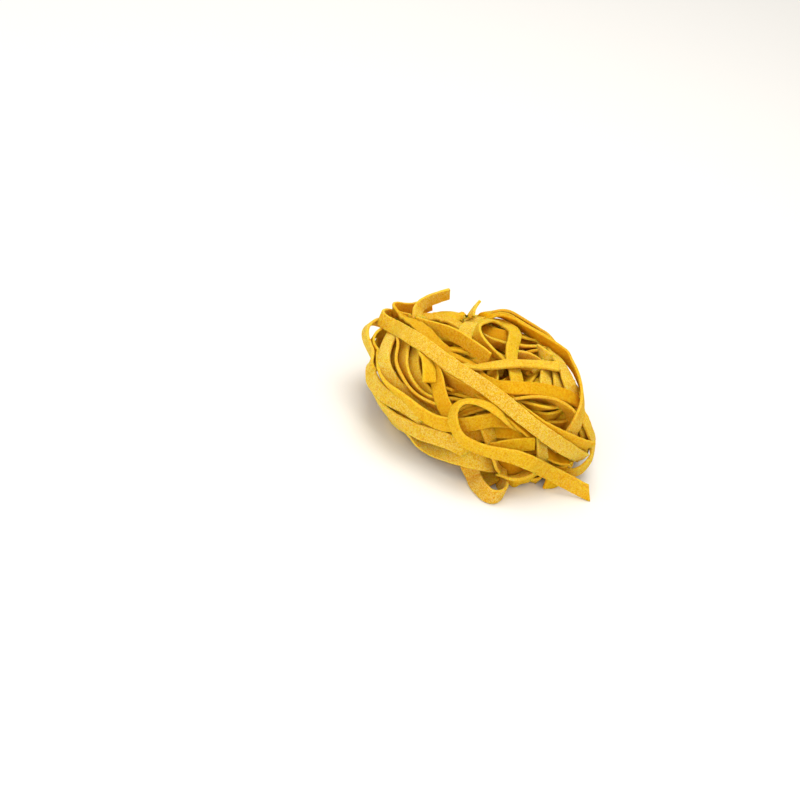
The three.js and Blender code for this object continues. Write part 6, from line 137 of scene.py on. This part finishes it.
 ("t3", 0.990, -0.18, [0.34, 0.34], [655,1261,2789,33,-213,-976,606,1410,2754,26,-215,-976,545,1554,2721,15,-216,-976,462,1683,2692,11,-199,-980,355,1789,2674,19,-140,-990,231,1874,2664,43,-57,-997,99,1944,2656,86,28,-996,-39,1998,2644,141,111,-984,-181,2028,2623,180,188,-966,-324,2031,2591,179,262,-948,-467,2010,2554,136,329,-934,-608,1969,2515,64,378,-923,-746,1915,2482,-17,406,-914,-885,1853,2459,-93,413,-906,-1028,1799,2456,-165,389,-906,-1173,1772,2477,-234,314,-920,-1315,1772,2520,-313,181,-932,-1450,1776,2575,-377,-2,-926,-1559,1735,2634,-409,-160,-898,-1614,1626,2686,-444,-230,-866,-1614,1483,2725,-491,-266,-830,-1587,1334,2756,-533,-305,-789,-1548,1183,2788,-561,-333,-758,-1496,1033,2814,-583,-353,-732,-1424,889,2824,-604,-379,-701,-1332,757,2815,-615,-413,-672,-1226,641,2791,-613,-463,-641,-1112,537,2757,-601,-533,-595,-995,437,2733,-581,-610,-539,-881,333,2735,-549,-670,-499,-775,226,2771,-499,-714,-491,-674,124,2831,-433,-750,-501,-565,32,2891,-371,-781,-502,-438,-45,2928,-325,-812,-484,-298,-103,2939,-284,-844,-454,-151,-142,2929,-240,-877,-417,-4,-166,2905,-197,-903,-383,144,-181,2872,-163,-918,-361,291,-188,2829,-137,-925,-354,435,-188,2780,-110,-928,-355,574,-181,2726,-86,-930,-358]),
]

RIBBON_WIDTH = 5.3      # mm
RIBBON_THICK = 1.05     # mm
STATION = 0.86   # mm between the mesh sections
CUT = {"R2": (1.60, 0.2), "JF": (0.0, 0.90)}   # mm the cut end leans along the ribbon, at the edges; the rest lean a little at random

MM = 0.001


def value_noise(x, seed):
    """smooth one-dimensional noise in -1..1"""
    rs = np.random.RandomState(seed)
    table = rs.uniform(-1, 1, 4096)
    i = np.floor(x).astype(int)
    f = x - i
    f = f * f * (3 - 2 * f)
    return table[i % 4096] * (1 - f) + table[(i + 1) % 4096] * f


def catmull(P, q, s):
    """rows of P at stations s, read at q by Catmull-Rom"""
    n = len(P)
    i = np.clip(np.searchsorted(s, q, side="right") - 1, 0, n - 2)
    t = ((q - s[i]) / np.maximum(s[i + 1] - s[i], 1e-9))[:, None]
    p0, p1, p2, p3 = P[np.maximum(i - 1, 0)], P[i], P[i + 1], P[np.minimum(i + 2, n - 1)]
    return 0.5 * ((2 * p1) + (p2 - p0) * t + (2 * p0 - 5 * p1 + 4 * p2 - p3) * t ** 2 + (3 * p1 - 3 * p2 + p3 - p0) * t ** 3)


def section(width, thick, r):
    """rounded rectangle, 14 points anticlockwise: (across, through)"""
    a, b = width / 2, thick / 2
    pts = []
    for cx, cy, a0 in ((a - r, b - r, 0), (-a + r, b - r, 90), (-a + r, -b + r, 180), (a - r, -b + r, 270)):
        for k in range(3):
            g = math.radians(a0 + 45 * k)
            pts.append((cx + r * math.cos(g), cy + r * math.sin(g)))
        if a0 == 0:
            pts.append((0.0, b))
        if a0 == 180:
            pts.append((0.0, -b))
    return np.array(pts)


NSEC = 14
verts, faces, painted_light_and_tone, powder, painted_rim_highlight, along, uvs = [], [], [], [], [], [], []
base = 0
strips = []
for number, (name, width_scale, ribbon_light_and_tone, dust, rows) in enumerate(RIBBONS):
    M = np.array(rows, float).reshape(-1, 6)
    P = M[:, :3] * 0.01
    B = M[:, 3:] * 0.001
    s = np.concatenate([[0], np.cumsum(np.linalg.norm(np.diff(P, axis=0), axis=1))])
    n = max(6, int(round(s[-1] / STATION)))
    q = np.linspace(0, s[-1], n + 1)
    # the ends get two close stations, so that the cut is crisp
    q = np.concatenate([[0, 0.16], q[1:-1], [s[-1] - 0.16, s[-1]]])
    C = catmull(P, q, s)
    A = catmull(B, q, s)
    T = np.gradient(C, axis=0)
    T /= np.linalg.norm(T, axis=1)[:, None]
    A -= T * (A * T).sum(1)[:, None]
    A /= np.linalg.norm(A, axis=1)[:, None]
    N = np.cross(T, A)
    m = len(q)
    seed = 1000 + 17 * number
    rs = np.random.RandomState(seed)
    # hand-cut ribbon: the width and the thickness wander, the two edges are a little ragged
    W = RIBBON_WIDTH * width_scale * (1 + 0.035 * value_noise(q / 9.0, seed) + 0.02 * value_noise(q / 3.1, seed + 1))
    H = RIBBON_THICK * (1 + 0.06 * value_noise(q / 11.0, seed + 2))
    rag_l = 0.075 * value_noise(q / 1.3, seed + 3) + 0.05 * value_noise(q / 0.7, seed + 4)
    rag_r = 0.075 * value_noise(q / 1.3, seed + 5) + 0.05 * value_noise(q / 0.7, seed + 6)
    cup = 0.10 * value_noise(q / 14.0, seed + 7)          # slight cupping across the width
    roll = 0.05 * value_noise(q / 2.3, seed + 8)
    slant = CUT.get(name, rs.uniform(-0.45, 0.45, 2))     # the cut ends are not quite square
    ring = np.zeros((m, NSEC, 3))
    for j in range(m):
        sec = section(W[j], H[j], 0.30)
        x, y = sec[:, 0].copy(), sec[:, 1].copy()
        x = np.where(x > 0.5, x + rag_r[j], np.where(x < -0.5, x - rag_l[j], x))
        u = x / (W[j] / 2)
        y = y + cup[j] * (u * u - 0.4) + roll[j] * u * 0.5
        if j in (0, m - 1):
            x = x * (1 - 0.05); y = y * 0.80
        ring[j] = C[j] + np.outer(x, A[j]) + np.outer(y, N[j])
        near0 = max(0.0, 1 - q[j] / 4.5)
        near1 = max(0.0, 1 - (q[-1] - q[j]) / 4.5)
        if near0 > 0 or near1 > 0:
            ragged = 0.05 * rs.uniform(-1, 1, NSEC) * (j in (0, m - 1))
            ring[j] += np.outer((slant[0] * near0 + slant[1] * near1) * u + ragged, T[j])
    verts.append(ring.reshape(-1, 3))
    sec = section(RIBBON_WIDTH, RIBBON_THICK, 0.30)
    # flags the rim vertices, which the material paints paler as a painted highlight
    e = (np.abs(sec[:, 0]) > RIBBON_WIDTH / 2 - 0.25).astype(float)
    painted_rim_highlight.append(np.tile(e, m))
    # painted light and shade for the whole ribbon, plus a slow random drift of its own tone along it
    painted_light_and_tone.append(np.full(m * NSEC, ribbon_light_and_tone) + np.repeat(0.25 * value_noise(q / 17.0, seed + 9), NSEC))
    d = np.interp(q / s[-1], np.linspace(0, 1, len(dust)), dust)
    powder.append(np.repeat(d, NSEC))
    for j in range(m - 1):
        a = base + j * NSEC
        for k in range(NSEC):
            k2 = (k + 1) % NSEC
            faces.append((a + k, a + NSEC + k, a + NSEC + k2, a + k2))
    faces.append(tuple(base + k for k in range(NSEC)))
    faces.append(tuple(base + (m - 1) * NSEC + k for k in reversed(range(NSEC))))
    strips.append((base, m, q, len(faces)))
    base += m * NSEC

V = np.vstack(verts) * MM
V[:, 2] = np.maximum(V[:, 2], 0.0)
me = bpy.data.meshes.new("ribbons")
me.from_pydata(V.tolist(), [], faces)
me.update()
for poly in me.polygons:
    poly.use_smooth = True
for nm, data in (("painted_light_and_tone", painted_light_and_tone), ("powder", powder), ("painted_rim_highlight", painted_rim_highlight)):
    at = me.attributes.new(nm, "FLOAT", "POINT")
    at.data.foreach_set("value", np.concatenate(data).astype(np.float32))
nest = bpy.data.objects.new("pasta_ribbons", me)
bpy.context.scene.collection.objects.link(nest)

# ------------------------------------------------------------------------------------------------
# Dried egg pasta: matte, a little translucent, with a grain of semolina and pale flour dust; each ribbon also carries
# painted light and shade, and its rims a painted highlight
# ------------------------------------------------------------------------------------------------
mat = bpy.data.materials.new("dried_egg_pasta")
mat.use_nodes = True
nt = mat.node_tree
nt.nodes.clear()
N_ = nt.nodes.new
L_ = nt.links.new


def node(kind, **kw):
    n = N_(kind)
    for k, v in kw.items():
        setattr(n, k, v)
    return n


def noise(scale, detail=3.0, rough=0.6, dist=0.0, vec=None):
    n = node("ShaderNodeTexNoise")
    n.inputs["Scale"].default_value = scale
    n.inputs["Detail"].default_value = detail
    n.inputs["Roughness"].default_value = rough
    n.inputs["Distortion"].default_value = dist
    L_(vec, n.inputs["Vector"])
    return n.outputs["Fac"]


def ramp(fac, a, b):
    n = node("ShaderNodeMapRange", clamp=True)
    n.inputs["From Min"].default_value = a
    n.inputs["From Max"].default_value = b
    L_(fac, n.inputs["Value"])
    return n.outputs["Result"]


def math_(op, a, b=None):
    n = node("ShaderNodeMath", operation=op)
    for k, v in enumerate((a, b)):
        if v is None:
            continue
        if isinstance(v, (int, float)):
            n.inputs[k].default_value = v
        else:
            L_(v, n.inputs[k])
    return n.outputs[0]


def mix(fac, a, b, mode="MIX"):
    n = node("ShaderNodeMix", data_type="RGBA", blend_type=mode)
    for key, v in ((0, fac), (6, a), (7, b)):
        if isinstance(v, (int, float)):
            n.inputs[key].default_value = v
        elif isinstance(v, tuple):
            n.inputs[key].default_value = (*v, 1.0)
        else:
            L_(v, n.inputs[key])
    return n.outputs[2]


coord = node("ShaderNodeTexCoord").outputs["Object"]
a_painted_light_and_tone = node("ShaderNodeAttribute", attribute_name="painted_light_and_tone").outputs["Fac"]
a_powder = node("ShaderNodeAttribute", attribute_name="powder").outputs["Fac"]
a_painted_rim_highlight = node("ShaderNodeAttribute", attribute_name="painted_rim_highlight").outputs["Fac"]

grain = noise(1350.0, 3.0, 0.62, 0.0, coord)        # semolina grain, about 0.8 mm
fine = noise(2900.0, 2.0, 0.6, 0.0, coord)          # finer than that
patch = noise(260.0, 3.0, 0.6, 0.4, coord)          # patches of 4 mm
cloud = noise(60.0, 2.0, 0.5, 0.0, coord)           # a drift over the nest; not connected to anything

deep = (0.69, 0.340, 0.0003)
mid = (0.74, 0.413, 0.0007)
light = (0.78, 0.538, 0.018)
flour = (0.80, 0.660, 0.220)
c0 = mix(ramp(patch, 0.30, 0.72), deep, mid)
c1 = mix(math_("MULTIPLY", ramp(grain, 0.45, 0.60), 0.75), c0, light)
# painted light and shade: the ribbon's value lifts lit ribbons toward the pale colour and darkens shaded ones toward a
# deep orange
t01 = ramp(a_painted_light_and_tone, -1.0, 1.0)
c2a = mix(math_("MULTIPLY", t01, 0.35), c1, light)
c2 = mix(math_("MULTIPLY", ramp(a_painted_light_and_tone, 0.0, -1.0), 0.65), c2a, (0.62, 0.270, 0.0008))
dust_amt = math_("MULTIPLY", a_powder, math_("MULTIPLY", ramp(fine, 0.42, 0.58), ramp(patch, 0.10, 0.50)))
c3 = mix(math_("MULTIPLY", dust_amt, 0.95), c2, flour)
# painted highlight: the ribbon rims are painted paler than the faces, standing in for the light that catches them
c4 = mix(math_("MULTIPLY", a_painted_rim_highlight, 0.38), c3, (0.80, 0.575, 0.070))
pits = math_("MULTIPLY", ramp(grain, 0.47, 0.33), 0.45)
c5 = mix(pits, c4, (0.60, 0.260, 0.0008))

rough = math_("ADD", 0.74, math_("MULTIPLY", grain, 0.22))

bsdf = node("ShaderNodeBsdfPrincipled")
L_(c5, bsdf.inputs["Base Color"])
L_(rough, bsdf.inputs["Roughness"])
bsdf.inputs["IOR"].default_value = 1.45
bsdf.inputs["Specular IOR Level"].default_value = 0.06
bsdf.inputs["Subsurface Weight"].default_value = 0.55
bsdf.inputs["Subsurface Radius"].default_value = (1.0, 0.43, 0.07)
bsdf.inputs["Subsurface Scale"].default_value = 0.0016

h1 = math_("MULTIPLY", grain, 0.6)
h2 = math_("MULTIPLY", fine, 0.35)
h3 = math_("MULTIPLY", patch, 0.5)
height = math_("ADD", math_("ADD", h1, h2), h3)
bump = node("ShaderNodeBump")
bump.inputs["Strength"].default_value = 0.6
bump.inputs["Distance"].default_value = 0.0003
L_(height, bump.inputs["Height"])
L_(bump.outputs["Normal"], bsdf.inputs["Normal"])
out = node("ShaderNodeOutputMaterial")
L_(bsdf.outputs["BSDF"], out.inputs["Surface"])
me.materials.append(mat)

wn = nest.modifiers.new("flat_faces", "WEIGHTED_NORMAL")
wn.keep_sharp = False
wn.weight = 60

# ------------------------------------------------------------------------------------------------
# The innermost turns are packed out of sight: a small ribbed lump stands for them, so the deepest
# slits between the ribbons end in pasta and not in daylight
# ------------------------------------------------------------------------------------------------
CORE_RINGS, CORE_SPOKES = 34, 96
core_v, core_f = [], []
for i in range(CORE_RINGS + 1):
    el = math.pi * (i / CORE_RINGS - 0.5)
    for j in range(CORE_SPOKES):
        az = 2 * math.pi * j / CORE_SPOKES
        d = (math.cos(el) * math.cos(az), math.cos(el) * math.sin(az), math.sin(el))
        r = ((math.hypot(d[0] / 24.5, d[1] / 22.0)) ** 2.4 + (abs(d[2]) / 10.0) ** 2.4) ** (-1 / 2.4)
        # turns of ribbon wound about a leaning axis
        lean = d[2] + 0.35 * d[0] - 0.15 * d[1] + 0.10 * math.sin(2 * az + 1.0)
        r += 0.75 * abs(math.sin(9.0 * lean)) - 0.4
        core_v.append(((2.4 + r * d[0]) * MM, (3.1 + r * d[1]) * MM, (15.2 + r * d[2]) * MM))
for i in range(CORE_RINGS):
    for j in range(CORE_SPOKES):
        k = (j + 1) % CORE_SPOKES
        core_f.append((i * CORE_SPOKES + j, i * CORE_SPOKES + k, (i + 1) * CORE_SPOKES + k, (i + 1) * CORE_SPOKES + j))
core_me = bpy.data.meshes.new("core")
core_me.from_pydata(core_v, [], core_f)
core_me.validate()
core_me.update()
for poly in core_me.polygons:
    poly.use_smooth = True
# the core gets the darker orange of painted shade, as it sits deep inside the nest
for nm, val in (("painted_light_and_tone", -0.6), ("powder", 0.0), ("painted_rim_highlight", 0.0)):
    at = core_me.attributes.new(nm, "FLOAT", "POINT")
    at.data.foreach_set("value", np.full(len(core_me.vertices), val, np.float32))
core_me.materials.append(mat)
core = bpy.data.objects.new("pasta_core", core_me)
bpy.context.scene.collection.objects.link(core)

for piece in (nest, core):
    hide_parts("pasta_nest")
    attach(piece, "root")

# ------------------------------------------------------------------------------------------------
# Stage: white floor, soft light from above, the camera
# ------------------------------------------------------------------------------------------------
def plane(name, size, z):
    m = bpy.data.meshes.new(name)
    h = size / 2
    m.from_pydata([(-h, -h, z), (h, -h, z), (h, h, z), (-h, h, z)], [], [(0, 1, 2, 3)])
    o = bpy.data.objects.new(name, m)
    bpy.context.scene.collection.objects.link(o)
    return o


floor = plane("floor", 6.0, -0.0002)
fm = bpy.data.materials.new("white_sweep")
fm.use_nodes = True
fb = fm.node_tree.nodes["Principled BSDF"]
fb.inputs["Base Color"].default_value = (0.895, 0.890, 0.880, 1)
fb.inputs["Roughness"].default_value = 0.9
fb.inputs["Specular IOR Level"].default_value = 0.1
floor.data.materials.append(fm)


def area(name, loc, target, size, power, colour=(1, 1, 1)):
    d = bpy.data.lights.new(name, "AREA")
    d.shape = "RECTANGLE"
    d.size, d.size_y = size
    d.energy = power
    d.color = colour
    o = bpy.data.objects.new(name, d)
    bpy.context.scene.collection.objects.link(o)
    o.location = loc
    z = np.array(loc, float) - np.array(target, float)
    z /= np.linalg.norm(z)
    x = np.cross((0, 1, 0), z) if abs(z[1]) < 0.95 else np.cross((1, 0, 0), z)
    x /= np.linalg.norm(x)
    y = np.cross(z, x)
    o.matrix_world = Matrix(((x[0], y[0], z[0], loc[0]), (x[1], y[1], z[1], loc[1]), (x[2], y[2], z[2], loc[2]), (0, 0, 0, 1)))
    o.visible_camera = False
    return o


area("overhead", (-0.02, 0.13, 0.74), (0, 0, 0.01), (0.56, 0.46), 3.0)
area("front_fill", (-0.12, -0.85, 0.44), (0, 0, 0.02), (0.8, 0.4), 3.3)

world = bpy.data.worlds.new("studio")
bpy.context.scene.world = world
world.use_nodes = True
bg = world.node_tree.nodes["Background"]
bg.inputs["Color"].default_value = (1.0, 0.962, 0.900, 1)
bg.inputs["Strength"].default_value = 0.86

cam_data = bpy.data.cameras.new("camera")
cam_data.lens = 85.0
cam_data.sensor_width = 36.0
cam_data.sensor_fit = "HORIZONTAL"
cam_data.clip_start = 0.01
cam = bpy.data.objects.new("camera", cam_data)
bpy.context.scene.collection.objects.link(cam)
cam.matrix_world = Matrix(((0.95325523, -0.29914787, 0.04260314, 0.00240000), (0.18933334, 0.48144766, -0.85578095, -0.56943902), (0.23549386, 0.82384386, 0.51558116, 0.34605556), (0, 0, 0, 1)))
bpy.context.scene.camera = cam

vs = bpy.context.scene.view_settings
vs.view_transform = "Standard"
vs.look = "Medium High Contrast"
vs.exposure = -0.42
vs.gamma = 1.0
